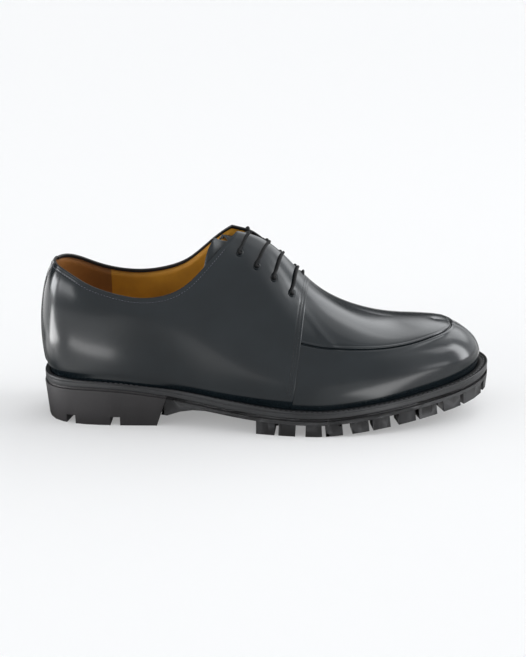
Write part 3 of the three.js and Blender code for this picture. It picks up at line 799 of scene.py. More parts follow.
@dataclass(frozen=True)
class WeltStrip:
    """Satin welt and midsole edge, trimmed and inked."""

    name: str = "welt_strip"
    tone: tuple = (0.03, 0.031, 0.033)
    roughness: float = 0.42

    def make(self) -> bpy.types.Material:
        """Fine scratches along the trimmed edge and a thin ink."""
        d = Dress(self.name)
        long = d.node("ShaderNodeMapping", {}, {0: d.place, "Scale": (1.0, 1.0, 9.0)})
        streak = d.noise(160, 4, 0.65, long)
        cloud = d.noise(60, 3, 0.6)
        dark = colour(*(0.7 * c for c in self.tone))
        tone = d.blend(d.band(cloud, 0.3, 0.7), dark, colour(*self.tone))
        return d.finish(Base_Color=tone, Roughness=self.roughness + (streak - 0.5) * 0.16,
                        Normal=d.relief(streak, 0.00025, 0.25))


@dataclass(frozen=True)
class WaxedCord:
    """Round black lace of braided cotton with a little wax."""

    name: str = "waxed_cord"
    tone: tuple = (0.0045, 0.0045, 0.005)
    shade: tuple = (0.002, 0.002, 0.002)
    slant: float = 1.6
    strands: float = 5200.0

    def make(self) -> bpy.types.Material:
        """Two crossed spirals of strands on the lace's own map."""
        d = Dress(self.name)
        uv = d.node("ShaderNodeUVMap", {"uv_map": "surface"})
        u, v = d.part("X", uv), d.part("Y", uv)
        slant = v * self.slant
        left, right = (d.math("SINE", turn * self.strands) for turn in (u + slant, u - slant))
        braid = d.math("MAXIMUM", left, right)
        tone = d.blend(d.band(braid, -0.4, 1), colour(*self.shade), colour(*self.tone))
        return d.finish(Base_Color=tone,
                        Roughness=0.5 + d.noise(900) * 0.1, Specular_IOR_Level=0.2,
                        Normal=d.relief(braid, 0.0001, 0.6))


@dataclass(frozen=True)
class Thread:
    """Waxed sewing thread."""

    name: str = "thread"
    tone: tuple = (0.02, 0.02, 0.022)
    roughness: float = 0.45

    def make(self) -> bpy.types.Material:
        """Plain thread with a slight twist in its gloss."""
        d = Dress(self.name)
        twist = d.noise(2500, 2)
        return d.finish(Base_Color=d.blend(twist, colour(*(0.7 * c for c in self.tone)),
                                           colour(*self.tone)),
                        Roughness=self.roughness + twist * 0.1,
                        Normal=d.relief(twist, 0.00005, 0.4))


class Finish(Enum):
    """The finishes of the shoe, each made once."""

    LEATHER = PolishedLeather()
    TONGUE = PolishedLeather(name="tongue_calf", roughness=0.42, coat=0.05, coat_roughness=0.3)
    LINING = LiningLeather()
    SOCK = LiningLeather(name="sock_leather", two_tone=False, tan=(0.4, 0.19, 0.03))
    RUBBER = SoleRubber()
    HEEL = SoleRubber(name="heel_rubber", tone=(0.026, 0.024, 0.025), roughness=0.58)
    WELT = WeltStrip()
    # Inked welt top, made darker still as painted shade of the sunk stitch channel.
    WELT_TOP = WeltStrip(name="welt_top", tone=(0.003, 0.003, 0.0033), roughness=0.6)
    EDGE = WeltStrip(name="painted_edge", tone=(0.003, 0.003, 0.0033), roughness=0.5)
    CORD = WaxedCord()
    THREAD = Thread(tone=(0.012, 0.012, 0.013))
    TOPLINE_THREAD = Thread(name="topline_thread", tone=(0.07, 0.07, 0.09), roughness=0.5)
    WELT_THREAD = Thread(name="welt_thread", tone=(0.06, 0.06, 0.065))

    def material(self) -> bpy.types.Material:
        """The finish's material, made on its first use."""
        made = bpy.data.materials.get(self.value.name)
        return made or self.value.make()


@dataclass
class Piece:
    """One dressed piece of the shoe and what it stands for."""

    shape: bpy.types.Object
    finish: Finish
    slot: str
    stands_for: tuple[str, ...] = ()
    second: Optional[tuple[Finish, Array]] = None

    def settle(self) -> None:
        """Gives the piece its finish and its body, and hides the nodes that it stands for."""
        self.shape.data.materials.clear()
        self.shape.data.materials.append(self.finish.material())
        if self.second is not None:
            self.shape.data.materials.append(self.second[0].material())
            self.shape.data.polygons.foreach_set("material_index", self.second[1].astype(np.int32))
        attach(self.shape, "root")
        for node in self.stands_for:
            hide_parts(node)
        triangles = sum(len(p.vertices) - 2 for p in self.shape.data.polygons)
        log.info("%s: %d triangles", self.shape.name, triangles)


# Quarters: the leather from the heel to the facings


@dataclass
class Quarters:
    """Both quarters as one sheet round the heel, with their edges, strip and stitches."""

    half_columns: int = 300
    rows: int = 96
    edge_rows: int = 8
    strip_half: float = 6.5
    strip_height: float = 0.7
    edge_half: float = 0.85
    seam_rows: tuple[float, ...] = (1.7, 3.6)
    topline_inset: float = 2.6
    fold_places: tuple = (5.9, 6.08, 6.42, 6.82, 7.08, 7.4)
    fold_shares: tuple = (0.725, 0.701, 0.667, 0.595, 0.539, 0.45)

    def build(self) -> list[Piece]:
        """Builds the sheet and its threads."""
        self._field()
        sheet = self._sheet()
        rows = len(self.grid.points[0]) - 1
        edge = np.arange(len(sheet.data.polygons)) % rows > self.rows
        pieces = [Piece(sheet, Finish.LEATHER, "leather", ("upper",), (Finish.EDGE, edge))]
        pieces.append(Piece(self._topline_threads(), Finish.TOPLINE_THREAD, "leather"))
        pieces.append(Piece(self._threads(), Finish.THREAD, "leather"))
        return pieces

    def _field(self) -> None:
        """Lays out the columns and rows and works out every distance once."""
        s = SIZES
        half = np.linspace(0, s.front_crown, self.half_columns + 1)
        self.own = np.concatenate([-half[::-1], half[1:]])
        self.top = LAST.top_share(self.own)
        q = np.linspace(0, 1, self.rows)
        self.t = (1 - (1 - q) ** 1.15)[None, :] * self.top[:, None]
        self.u = LAST.leaned(self.own[:, None], self.t)
        base = LAST.point(self.u, self.t)
        self.base = base
        self.normals = LAST.normal(self.u, np.clip(self.t, 0.003, 0.995))
        self.below = along(base[:, ::-1], 1)[:, ::-1]
        self.above = along(base, 1)
        run = along(base, 0)
        middle = len(self.own) // 2
        self.round = run - run[middle][None, :]
        self.front = np.minimum(run, run[-1][None, :] - run)
        edge = unit(np.gradient(base[:, -1], axis=0))
        up = unit(base[:, -1] - base[:, -3])
        slant = np.linalg.norm(np.cross(edge, up), axis=-1)
        self.inset = self.below * slant[:, None]
        self.up = up

    def _lift(self) -> Array:
        """Height of the leather's outside over the last.

        The lap's thickness rises from nothing at the feather line; the back strip, the puffed
        topline, the fold down the facing and the soft wobble of pulled leather come on top.
        """
        s = SIZES
        lift = s.lap * smooth(0.5, 7, self.above) * np.ones_like(self.t)
        strip = 1 - smooth(self.strip_half - 0.5, self.strip_half + 0.1, np.abs(self.round))
        lift += self.strip_height * strip * smooth(2, 6, self.above)
        size = np.abs(self.u)
        inset = self.inset
        lift -= 0.09 * bump(inset - self.topline_inset, 0.6) * smooth(5.15, 5.0, size)
        lift -= 0.12 * smooth(2.0, 0.2, inset)
        lift -= 1.0 * smooth(13, 0, inset) ** 1.5 * smooth(4.4, 3.2, size)
        for way in self.seam_rows:
            lift -= 0.14 * bump(self.front - way, 0.5) * smooth(0.08, 0.3, self.t)
        fold = np.interp(size, self.fold_places, self.fold_shares)
        off = (self.t - fold) * self._section_length()
        lift += 0.2 * bump(off, 4.5) * smooth(5.6, 6.3, size)
        lift += self._wobble()
        lift += LAST.stand_off(self.u, self.t)
        return lift

    def _section_length(self) -> Array:
        """Length of each column per unit of t."""
        return (self.above[:, -1] / self.top)[:, None]

    def _wobble(self) -> Array:
        """Slow waves of pulled leather, a few hundredths to a tenth of a millimetre."""
        x, z = self.base[..., 0], self.base[..., 2]
        slow = np.sin(x / 17 + 0.8) * np.sin(z / 13 + x / 41) * 0.10
        return slow * smooth(6, 20, self.below) * smooth(4, 14, self.above)

    def _sheet(self) -> bpy.types.Object:
        """The outside, rolled over the top edge and down the front edge onto the vamp."""
        s = SIZES
        lift = self._lift()
        for u, t in LAST.eyelets():
            centre = LAST.point(u, t)
            away = np.linalg.norm(self.base - centre, axis=-1)
            lift -= 1.4 * (1 - smooth(1.5, 2.1, away)) + 0.12 * bump(away, 4.0)
        pull = self.edge_half * smooth(7, 0, self.below)
        outside = (self.base + self.normals * lift[..., None]
                   - self.up[:, None] * pull[..., None])
        sole = outside[:, :1] - np.array([0, 0, s.welt_thick])
        size = np.abs(self.own)
        half = self.edge_half * (1 - 0.45 * smooth(6.6, 7.0, size))
        low = lift[:, -1] - 2 * half
        angle = np.linspace(0, np.pi, self.edge_rows + 2)[1:-1]
        n, up = self.normals[:, -1], self.up
        centre = (self.base[:, -1] + n * ((lift[:, -1] + low) / 2)[:, None]
                  - up * self.edge_half)
        rim = (centre[:, None] + n[:, None] * (half[:, None] * np.cos(angle))[..., None]
               + up[:, None] * (half[:, None] * np.sin(angle))[..., None])
        inner = (centre - n * half[:, None])[:, None]
        deeper = inner - up[:, None] * 1.4 - n[:, None] * 0.12
        grid = np.concatenate([sole, outside, rim, inner, deeper], 1)
        grid = self._front_edges(grid)
        self.grid = Grid(grid)
        faces = grid_faces(numbered(grid))
        return add_mesh("quarters", grid.reshape(-1, 3), faces, self.grid.uv())

    def _front_edges(self, grid: Array) -> Array:
        """Adds columns that round the front edge down to the vamp.

        Column k stands forward by r sin(a) and down by h (1 - cos(a)), a going to a right angle.
        """
        parts = [grid]
        for end, before, first in ((-1, -3, False), (0, 2, True)):
            edge = grid[end]
            forward = unit(edge - grid[before])
            rows = grid.shape[1]
            n = np.empty((rows, 3))
            body = self.normals[end]
            n[0], n[1:1 + self.rows] = body[0], body
            n[1 + self.rows:] = body[-1]
            drop = np.full(rows, SIZES.lap + 0.25)
            drop[0] = 0.1
            drop[1:1 + self.rows] *= smooth(0.5, 7, self.above[end])
            drop[1 + self.rows:] *= np.linspace(0.9, 0.2, rows - 1 - self.rows)
            extra = []
            for a in np.radians([25, 50, 75, 90]):
                fall = (drop * (1 - np.cos(a)))[:, None]
                extra.append(edge + forward * (0.5 * np.sin(a)) - n * fall)
            extra.append(extra[-1] - n * 0.25)
            extra = np.stack(extra)
            parts = [extra[::-1]] + parts if first else parts + [extra]
        self.extra = 5
        return np.concatenate(parts)

    def _topline_threads(self) -> bpy.types.Object:
        """One row of stitches along the topline."""
        columns = np.arange(len(self.own))
        below = self.inset[:, ::-1]
        rows = np.array([np.interp(self.topline_inset, below[k], np.arange(self.rows)[::-1])
                         for k in columns])
        keep = np.abs(self.own) < 5.0
        i, j = columns[keep] + self.extra, rows[keep] + 1
        points, normals = self.grid.at(i, j), self.grid.normal(i, j)
        return add_mesh("topline_threads", *stitches(points, normals, 2.0, 0.26, 0.0, 0.55))

    def _threads(self) -> bpy.types.Object:
        """Two rows of stitches down each front seam."""
        shift, made = self.extra, []
        for side in (0, 1):
            for inset in self.seam_rows:
                level = np.arange(6, self.rows - 3)
                way = self.front[:, level]
                half = way.shape[0] // 2
                part = way[:half] if side == 0 else way[half:][::-1]
                place = np.array([np.interp(inset, part[:, k], np.arange(half if side == 0 else
                                  len(part))) for k in range(len(level))])
                i = place + shift if side == 0 else len(self.own) - 1 - place + shift
                j = level + 1
                points, normals = self.grid.at(i, j), self.grid.normal(i, j)
                made.append(stitches(points, normals, 2.3, 0.18, 0.05))
        return add_mesh("quarter_threads", *joined(made))


# Vamp and apron


@dataclass
class Vamp:
    """The front of the upper: wall, raised apron seam, apron and split toe seam."""

    columns: int = 700
    wall_rows: int = 30
    seam_rows: int = 22
    apron_rows: int = 34
    seam_reach: float = 3.2
    start: float = 6.9
    fold_places: tuple = (6.8, 7.08, 7.3, 7.58, 7.76, 8.0)
    fold_shares: tuple = (0.60, 0.539, 0.47, 0.391, 0.355, 0.33)

    def build(self) -> list[Piece]:
        """Builds the sheet."""
        sheet = self._sheet()
        return [Piece(sheet, Finish.LEATHER, "leather")]

    def _shares(self, u: Array) -> Array:
        """Rows of t for each column, close together across the seam."""
        ridge = LAST.ridge(u)
        steps = np.linspace(0, 1, 200)
        length = along(LAST.point(u[:, None], steps[None]), 1)[:, -1]
        half = self.seam_reach / length
        wall = np.linspace(0, 1, self.wall_rows, endpoint=False)[None] * (ridge - half)[:, None]
        seam = (ridge - half)[:, None] + np.linspace(0, 1, self.seam_rows, endpoint=False)[None] \
            * (2 * half)[:, None]
        rest = (1 - ridge - half)[:, None]
        apron = (ridge + half)[:, None] + np.linspace(0, 1, self.apron_rows)[None] * rest
        return np.concatenate([wall, seam, apron], 1)

    def _sheet(self) -> bpy.types.Object:
        """The outside of vamp and apron on columns from one quarter round the toe to the other."""
        way = np.linspace(-1, 1, self.columns + 1)
        u = AROUND / 2 + (AROUND / 2 - self.start) * (0.6 * way + 0.4 * way**3)
        t = self._shares(u)
        place = self._leaned(u[:, None] * np.ones_like(t), t)
        base = LAST.point(place, t)
        normals = LAST.normal(place, np.where(t > 0.9995, 1.0, np.clip(t, 0.003, 0.995)))
        way = along(base, 1)
        ridge = LAST.ridge(u)
        seam = np.array([np.interp(ridge[k], t[k], way[k]) for k in range(len(u))])
        off = way - seam[:, None]
        run = along(base, 0)
        middle = self.columns // 2
        toe = run - run[middle][None, :]
        lift = self._lift(place, t, way, off, toe, base)
        points = self._relaxed(base + normals * lift[..., None], off)
        sole = points[:, :1] - np.array([0, 0, SIZES.welt_thick])
        grid = np.concatenate([sole, points], 1)
        self.grid = Grid(grid)
        index = numbered(grid)
        mirror = index[::-1, -1]
        index[middle + 1:, -1] = mirror[middle + 1:]
        return add_mesh("vamp", grid.reshape(-1, 3), grid_faces(index), self.grid.uv())

    def _relaxed(self, points: Array, off: Array) -> Array:
        """Apron with the crown line's end averaged out, where the columns fan out from it.

        Args:
            points: Grid of the sheet's outside; its last row is the crown, met from both sides.
            off: Distance of each point past the apron's seam.

        Returns:
            The grid, its seam and wall unchanged.
        """
        end = points[self.columns // 2, -1]
        weight = smooth(24, 6, np.linalg.norm(points - end, axis=-1)) * smooth(2.6, 6.0, off)
        pull = 0.8 * weight[1:-1, 1:, None]
        for _ in range(240):
            above = np.concatenate([points[:, 2:], points[::-1, -2:-1]], 1)[1:-1]
            around = above + points[1:-1, :-1] + points[:-2, 1:] + points[2:, 1:]
            points[1:-1, 1:] += pull * (around / 4 - points[1:-1, 1:])
        return points

    @staticmethod
    def _leaned(u: Array, t: Array) -> Array:
        """Columns by the quarters lean back with the quarters' front edges."""
        own = np.where(u > AROUND / 2, AROUND - u, u)
        leaned = LAST.leaned(own, t)
        return np.where(u > AROUND / 2, AROUND - leaned, leaned)

    def _lift(self, u: Array, t: Array, way: Array, off: Array, toe: Array,
              base: Array) -> Array:
        """Height of the leather over the last: seams, puffed apron, fold and slow waves.

        The wall meets the apron in a narrow groove; the apron's edge beyond it is a small
        rounded lip and the apron stands a little proud of the wall.
        """
        rise = smooth(0.5, 5, way)
        seam = 0.55 * bump(off + 1.5, 1.5) - 1.15 * bump(off - 0.1, 0.5)
        seam = seam + 0.75 * smooth(0.1, 0.9, off) * (0.35 + 0.65 * bump(np.maximum(off - 1, 0), 9))
        seam = seam - 0.25 * bump(off - 2.3, 0.5)
        below = smooth(0.6, -1.0, off)
        split = (0.45 * bump(np.abs(toe) - 1.5, 0.9) - 1.3 * bump(toe, 0.55)) * below
        size = np.where(u > AROUND / 2, AROUND - u, u)
        fold_t = np.interp(size, self.fold_places, self.fold_shares)
        length = way[:, -1:]
        fold = 0.42 * bump((t - fold_t) * length, 3.4) * smooth(8.0, 7.5, size)
        waves = 0.07 * np.sin(base[..., 0] / 11 + base[..., 1] / 23) * np.sin(base[..., 1] / 9)
        return (seam + split) * rise + fold + waves * rise


# Lining, edge of the heel piece and sock


@dataclass
class Lining:
    """The tan leather inside the upper, and the sock on the insole."""

    columns: int = 360
    rows: int = 40
    depth: float = 2.0

    def build(self) -> list[Piece]:
        """Builds the lining and the sock."""
        return [Piece(self._lining(), Finish.LINING, "lining"),
                Piece(self._sock(), Finish.SOCK, "lining", ("insole",))]

    def _lining(self) -> bpy.types.Object:
        """Inner face of the upper: it starts under the edge and thins away from it."""
        s = SIZES
        own = np.linspace(-AROUND / 2, AROUND / 2, self.columns + 1)
        quarter = np.abs(own) < s.front_crown
        top = np.where(quarter, LAST.top_share(own), 1.0)
        q = np.linspace(0, 1, self.rows)
        t = (1 - (1 - q) ** 1.5)[None] * top[:, None]
        u = np.where(quarter[:, None], LAST.leaned(own[:, None], t), own[:, None] + 0 * t)
        base = LAST.point(u, t)
        normals = LAST.normal(u, np.where(t > 0.9995, 1.0, np.clip(t, 0.003, 0.995)))
        below = along(base[:, ::-1], 1)[:, ::-1]
        depth = self.depth - 1.35 * smooth(7, 0.5, below) * quarter[:, None]
        lift = LAST.stand_off(u, t) - depth
        up = unit(base[:, -1] - base[:, -3])
        pull = smooth(6, 0, below)[..., None]
        points = base + normals * lift[..., None] - up[:, None] * pull
        foot = points[:, :1] - np.array([0, 0, s.welt_thick])
        grid = np.concatenate([foot, points], 1)
        index = numbered(grid)
        index[-1] = index[0]
        closed = np.flatnonzero(~quarter)
        for k in closed[closed > self.columns // 2]:
            index[k, -1] = index[self.columns - k, -1]
        faces = grid_faces(index, flip=True)
        return add_mesh("lining", grid.reshape(-1, 3), faces, Grid(grid).uv())

    def _sock(self) -> bpy.types.Object:
        """The sock: the insole's slab with a soft edge, dished by a millimetre."""
        s = SIZES
        u = np.linspace(0, AROUND, 241)
        inset = -(s.wall + s.gap + 0.4)
        share = np.concatenate([[1, 1, 0.995], np.linspace(0.98, 0.02, 18)])
        edge = LAST.outline(u, inset + 0 * u)
        mirrored = edge[(len(u) - 1 - np.arange(len(u)))]
        centre = (edge + mirrored) / 2
        rings = []
        for k, r in enumerate(share):
            flat = centre + (edge - centre) * r
            floor = LAST.welt_top(flat[:, 0]) - s.welt_thick
            dish = 1.2 * (1 - r) ** 0.5 if k > 1 else 0
            height = (0, 2.4, 3.0)[k] if k < 3 else 3.0 - dish * 0.4
            rings.append(np.column_stack([flat, floor + height]))
        grid = np.stack(rings, 1)
        index = numbered(grid)
        index[-1] = index[0]
        faces = grid_faces(index)
        inner = index[:, -1]
        n = len(inner)
        half = (n - 1) // 2
        fill = [[inner[k], inner[k + 1], inner[n - 2 - k], inner[(n - 1 - k) % (n - 1)]]
                for k in range(half)]
        fill = [list(f) for f in fill if len(set(f)) == 4]
        faces = np.concatenate([faces, np.array(fill)])
        return add_mesh("sock", grid.reshape(-1, 3), faces, Grid(grid).uv(), sharp=50)


# Tongue


@dataclass
class Tongue:
    """The tongue under the facings: tan inside, its two ears standing and its middle sunk."""

    across: int = 100
    along_: int = 90
    thick: float = 2.0
    depth: float = 2.7
    reach: float = 0.36
    front: float = 184.0
    dip: float = 131.0
    ears: tuple[float, float] = (114.5, 120.5)
    sides: tuple[float, float] = (107.0, 113.0)
    flare_start: float = 121.0
    flare: float = 2.5
    sinks: tuple[float, float] = (11.0, 7.5)
    sink_ends: tuple[float, float] = (0.3, 0.15)

    def build(self) -> list[Piece]:
        """Builds the outer sheet with its rounded edge, and the lining inside it."""
        w = np.linspace(-1, 1, self.across + 1)
        share = np.abs(w)
        far = smooth(-0.12, 0.12, w)
        ear, side, sunk, reach = (
            pair[0] + (pair[1] - pair[0]) * far
            for pair in (self.ears, self.sides, self.sinks, self.sink_ends))
        middle = np.cos(np.minimum(1, share / 0.5) * np.pi) * 0.5 + 0.5
        corner = ear + (side - ear) * np.maximum(0, (share - 0.5) / 0.5)
        rear_x = corner + (self.dip - corner) * middle
        front = LAST.place_of_crown(self.front)
        rear = np.array([LAST.place_of_crown(x) for x in rear_x])
        v = np.linspace(0, 1, self.along_ + 1)
        own = front + (rear[:, None] - front) * v[None]
        u = np.where(w[:, None] < 0, own, -own)
        t = (1 - self.reach * share - 0.07 * smooth(0.7, 1, share))[:, None] + 0 * own
        past = self.flare_start - LAST.crown_x(own)
        beyond = np.clip(past / (self.flare_start - ear[:, None]), 0, 1)
        lift = self.flare * beyond**1.5 * (np.sin(np.pi * share) ** 2)[:, None] - self.depth
        dip = np.clip((0.46 - share) / (0.46 - reach), 0, 1)
        lift = lift - (sunk * dip * dip * (3 - 2 * dip))[:, None] * smooth(0.72, 0.99, v)[None]
        lift = lift + np.minimum(0, LAST.stand_off(u, t))
        base = LAST.point(u, t)
        normals = LAST.normal(u, np.where(t > 0.9995, 1.0, np.minimum(t, 0.995)))
        edge = np.minimum.outer(1 - share, np.ones_like(v)) * 40
        way = np.minimum(edge, along(base[:, ::-1], 1)[:, ::-1])
        round_ = np.sqrt(np.clip(1 - (1 - np.minimum(way, 1.0)) ** 2, 0, 1))
        half = self.thick / 2
        centre = base + normals * (lift - half)[..., None]
        outer = centre + normals * (half * round_)[..., None]
        inner = centre - normals * (half * round_)[..., None]
        return [self._skin(outer, inner), self._lining(inner)]

    @staticmethod
    def _skin(outer: Array, inner: Array) -> Piece:
        """Black side and edge of the tongue."""
        n, m = outer.shape[:2]
        index = np.arange(2 * n * m).reshape(2, n, m)
        faces = [grid_faces(index[0]), grid_faces(index[1], True)]
        rims = [(index[0, 0], index[1, 0]), (index[1, -1], index[0, -1]),
                (index[1, :, 0], index[0, :, 0]), (index[0, :, -1], index[1, :, -1])]
        faces += [grid_faces(np.stack(r, 1), True) for r in rims]
        points = np.concatenate([outer.reshape(-1, 3), inner.reshape(-1, 3)])
        uv = np.tile(Grid(outer).uv(), (2, 1))
        sheet = add_mesh("tongue_leather", points, np.concatenate(faces), uv, sharp=60)
        return Piece(sheet, Finish.TONGUE, "leather", ("tongue",))

    @staticmethod
    def _lining(inner: Array) -> Piece:
        """Tan inside of the tongue, a hair off the sheet and just short of its edge."""
        points = inner[3:-3, :-2]
        step = np.cross(np.gradient(points, axis=0), np.gradient(points, axis=1))
        points = points - unit(step) * 0.12
        faces = grid_faces(numbered(points), True)
        sheet = add_mesh("tongue_lining", points.reshape(-1, 3), faces, Grid(points).uv())
        return Piece(sheet, Finish.SOCK, "lining")


# Laces and eyelets


@dataclass
class Laces:
    """One lace run through four pairs of punched eyelets."""

    radius: float = 0.98
    dip: float = 4.4
    forward: tuple = (0.29, 0.38, 0.29, 0.22)
    throat_x: float = 173.5
    throat_reach: float = 0.08

    def build(self) -> list[Piece]:
        """Builds the four bars, the runs beneath them and the eyelets' rims."""
        eyelets = LAST.eyelets()
        pieces = []
        for i in range(SIZES.eyelets):
            pair = eyelets[2 * i:2 * i + 2]
            path = self._bar(pair, self.forward[i])
            bar = add_mesh(f"lace_{i + 1}", *tube(path, self.radius, 14))
            pieces.append(Piece(bar, Finish.CORD, "cord", (f"lace_bar_{i + 1}",)))
        under = []
        for i in range(SIZES.eyelets - 1):
            for side in (0, 1):
                path = self._under(eyelets[2 * i + side], eyelets[2 * i + 3 - side], side)
                under.append(tube(path, self.radius * 0.96, 12))
        pieces.append(Piece(add_mesh("lace_under", *joined(under)), Finish.CORD, "cord"))
        pieces.append(Piece(self._throat_bar(), Finish.CORD, "cord"))
        rims = joined([self._rim(u, t) for u, t in eyelets])
        pieces.append(Piece(add_mesh("eyelet_rims", *rims), Finish.LEATHER, "leather"))
        return pieces

    def _bar(self, pair: list[tuple[float, float]], forward: float) -> Array:
        """Middle line of one bar: out of an eyelet, over the facing's edge, down into the gap
        and up to the other.

        Args:
            pair: Place and share of the outer and the inner eyelet.
            forward: How far the bar leans towards the toe at the crown, in places.

        Returns:
            Points of the cord's middle.
        """
        s = SIZES
        share = np.linspace(0, 1, 26) ** 0.8
        share = np.concatenate([share, share[::-1][1:]])
        side = np.concatenate([np.zeros(26, int), np.ones(25, int)])
        u0, t0 = np.array(pair)[side, 0], np.array(pair)[side, 1]
        u = u0 + forward * share * np.where(side == 0, 1, -1)
        t = t0 + (1 - t0) * share
        normal = LAST.normal(u, np.where(t > 0.999, 1.0, t))
        stand = LAST.stand_off(u, t) * (share < 0.98)
        top = s.lap + s.gap + self.radius - 0.15
        base = LAST.point(u, t)
        way = along(base, 0)
        gap = np.abs(way - way[25]) - LAST.slit_half(LAST.crown_x(u0))
        lift = top - self.dip * smooth(1.7, -1.9, gap) + stand
        points = base + normal * lift[:, None]
        hooks = []
        for (eu, et), away in zip(pair, (points[3], points[-4])):
            hooks.append(self._hook(eu, et, away, top))
        path = np.concatenate([hooks[0], points[3:-3], hooks[1][::-1]])
        return self._eased(path)

    def _throat_bar(self) -> bpy.types.Object:
        """Short cord across the end of the gap, its ends sunk in the leather."""
        own = LAST.place_of_crown(self.throat_x)
        share = np.concatenate([np.linspace(0, 1, 12), np.linspace(1, 0, 12)[1:]])
        u = np.where(np.arange(23) < 12, own, AROUND - own)
        t = 1 - self.throat_reach * (1 - share)
        normal = LAST.normal(u, np.where(t > 0.999, 1.0, t))
        lift = SIZES.lap - 0.9 + 1.6 * np.sqrt(np.sin(np.pi * np.linspace(0.0, 1.0, 23)))
        path = self._eased(LAST.point(u, t) + normal * lift[:, None])
        return add_mesh("throat_bar", *tube(path, 0.7, 12))

    def _hook(self, u: float, t: float, away: Array, top: float) -> Array:
        """End of a bar: it passes behind the hole, turns below it and dives in from the front.

        Args:
            u: Place of the eyelet.
            t: Share of the eyelet.
            away: First point of the straight run above it.
            top: Height of the cord's middle over the last.

        Returns:
            Points from inside the hole to the straight run.
        """
        n = LAST.normal(u, t)
        stand = float(LAST.stand_off(np.array(u), np.array(t)))
        centre = LAST.point(u, t) + n * (stand + top)
        up = away - centre
        up = unit(up - n * (up @ n))
        ahead = np.cross(up, n)
        ahead = ahead if ahead[0] > 0 else -ahead
        turns = ((0.5, 0.1, -4.2), (0.55, 0.1, -2.6), (0.75, 0.0, -1.1), (0.75, -0.75, -0.2),
                 (0.1, -1.35, 0.05), (-0.75, -1.0, 0.05), (-1.05, 0.1, 0.0))
        return np.array([centre + ahead * a + up * b + n * c for a, b, c in turns])

    @staticmethod
    def _eased(path: Array, spacing: float = 0.5) -> Array:
        """The path at even spacing, its corners eased by a few rounds of averaging."""
        way = along(path, 0)
        even = np.linspace(0, way[-1], int(way[-1] / spacing))
        out = np.stack([np.interp(even, way, path[:, k]) for k in range(3)], -1)
        for _ in range(5):
            out[1:-1] = (out[:-2] + 2 * out[1:-1] + out[2:]) / 4
        return out

    def _under(self, start: tuple[float, float], end: tuple[float, float], side: int) -> Array:
        """Hidden run from one eyelet to the next pair's other eyelet, under the facings."""
        share = np.linspace(0, 1, 30)
        half = share < 0.5
        u = np.where(half, start[0], end[0])
        own0 = start[0] if start[0] < AROUND / 2 else AROUND - start[0]
        own1 = end[0] if end[0] < AROUND / 2 else AROUND - end[0]
        own = own0 + (own1 - own0) * share
        u = np.where(half == (side == 0), own, AROUND - own)
        rise = np.where(half, share * 2, 2 - share * 2)
        t0 = np.where(half, start[1], end[1])
        t = t0 + (1 - t0) * rise
        normal = LAST.normal(u, np.where(t > 0.999, 1.0, t))
        lift = -1.9 + 1.3 * smooth(0.7, 1.0, rise)
        return self._eased(LAST.point(u, t) + normal * lift[:, None])

    def _rim(self, u: float, t: float) -> tuple[Array, Array, Array]:
        """Rim of a punched hole: a ring that turns down into the leather.

        Radius falls from 2.5 to 1.5 mm while the height goes from the surface down 1.7 mm.
        """
        n = LAST.normal(u, t)
        side = unit(np.cross(n, [0.0, 0.0, 1.0]))
        other = np.cross(n, side)
        lift = SIZES.lap + float(LAST.stand_off(np.array(u), np.array(t)))
        radius = np.array([2.5, 2.2, 1.95, 1.72, 1.6, 1.55, 1.5])
        height = lift + np.array([-0.14, -0.02, 0.0, -0.08, -0.35, -0.9, -1.7])
        angle = np.linspace(0, 2 * np.pi, 25)
        ring = side * np.cos(angle)[:, None] + other * np.sin(angle)[:, None]
        middle = LAST.point(u, t)
        points = (middle + ring[:, None] * radius[None, :, None]
                  + n * (height[None] + 0 * angle[:, None])[..., None])
        index = np.arange(25 * 7).reshape(25, 7)
        index[-1] = index[0]
        return points.reshape(-1, 3), grid_faces(index, flip=True), Grid(points).uv()


# Welt, midsole, outsole and heel


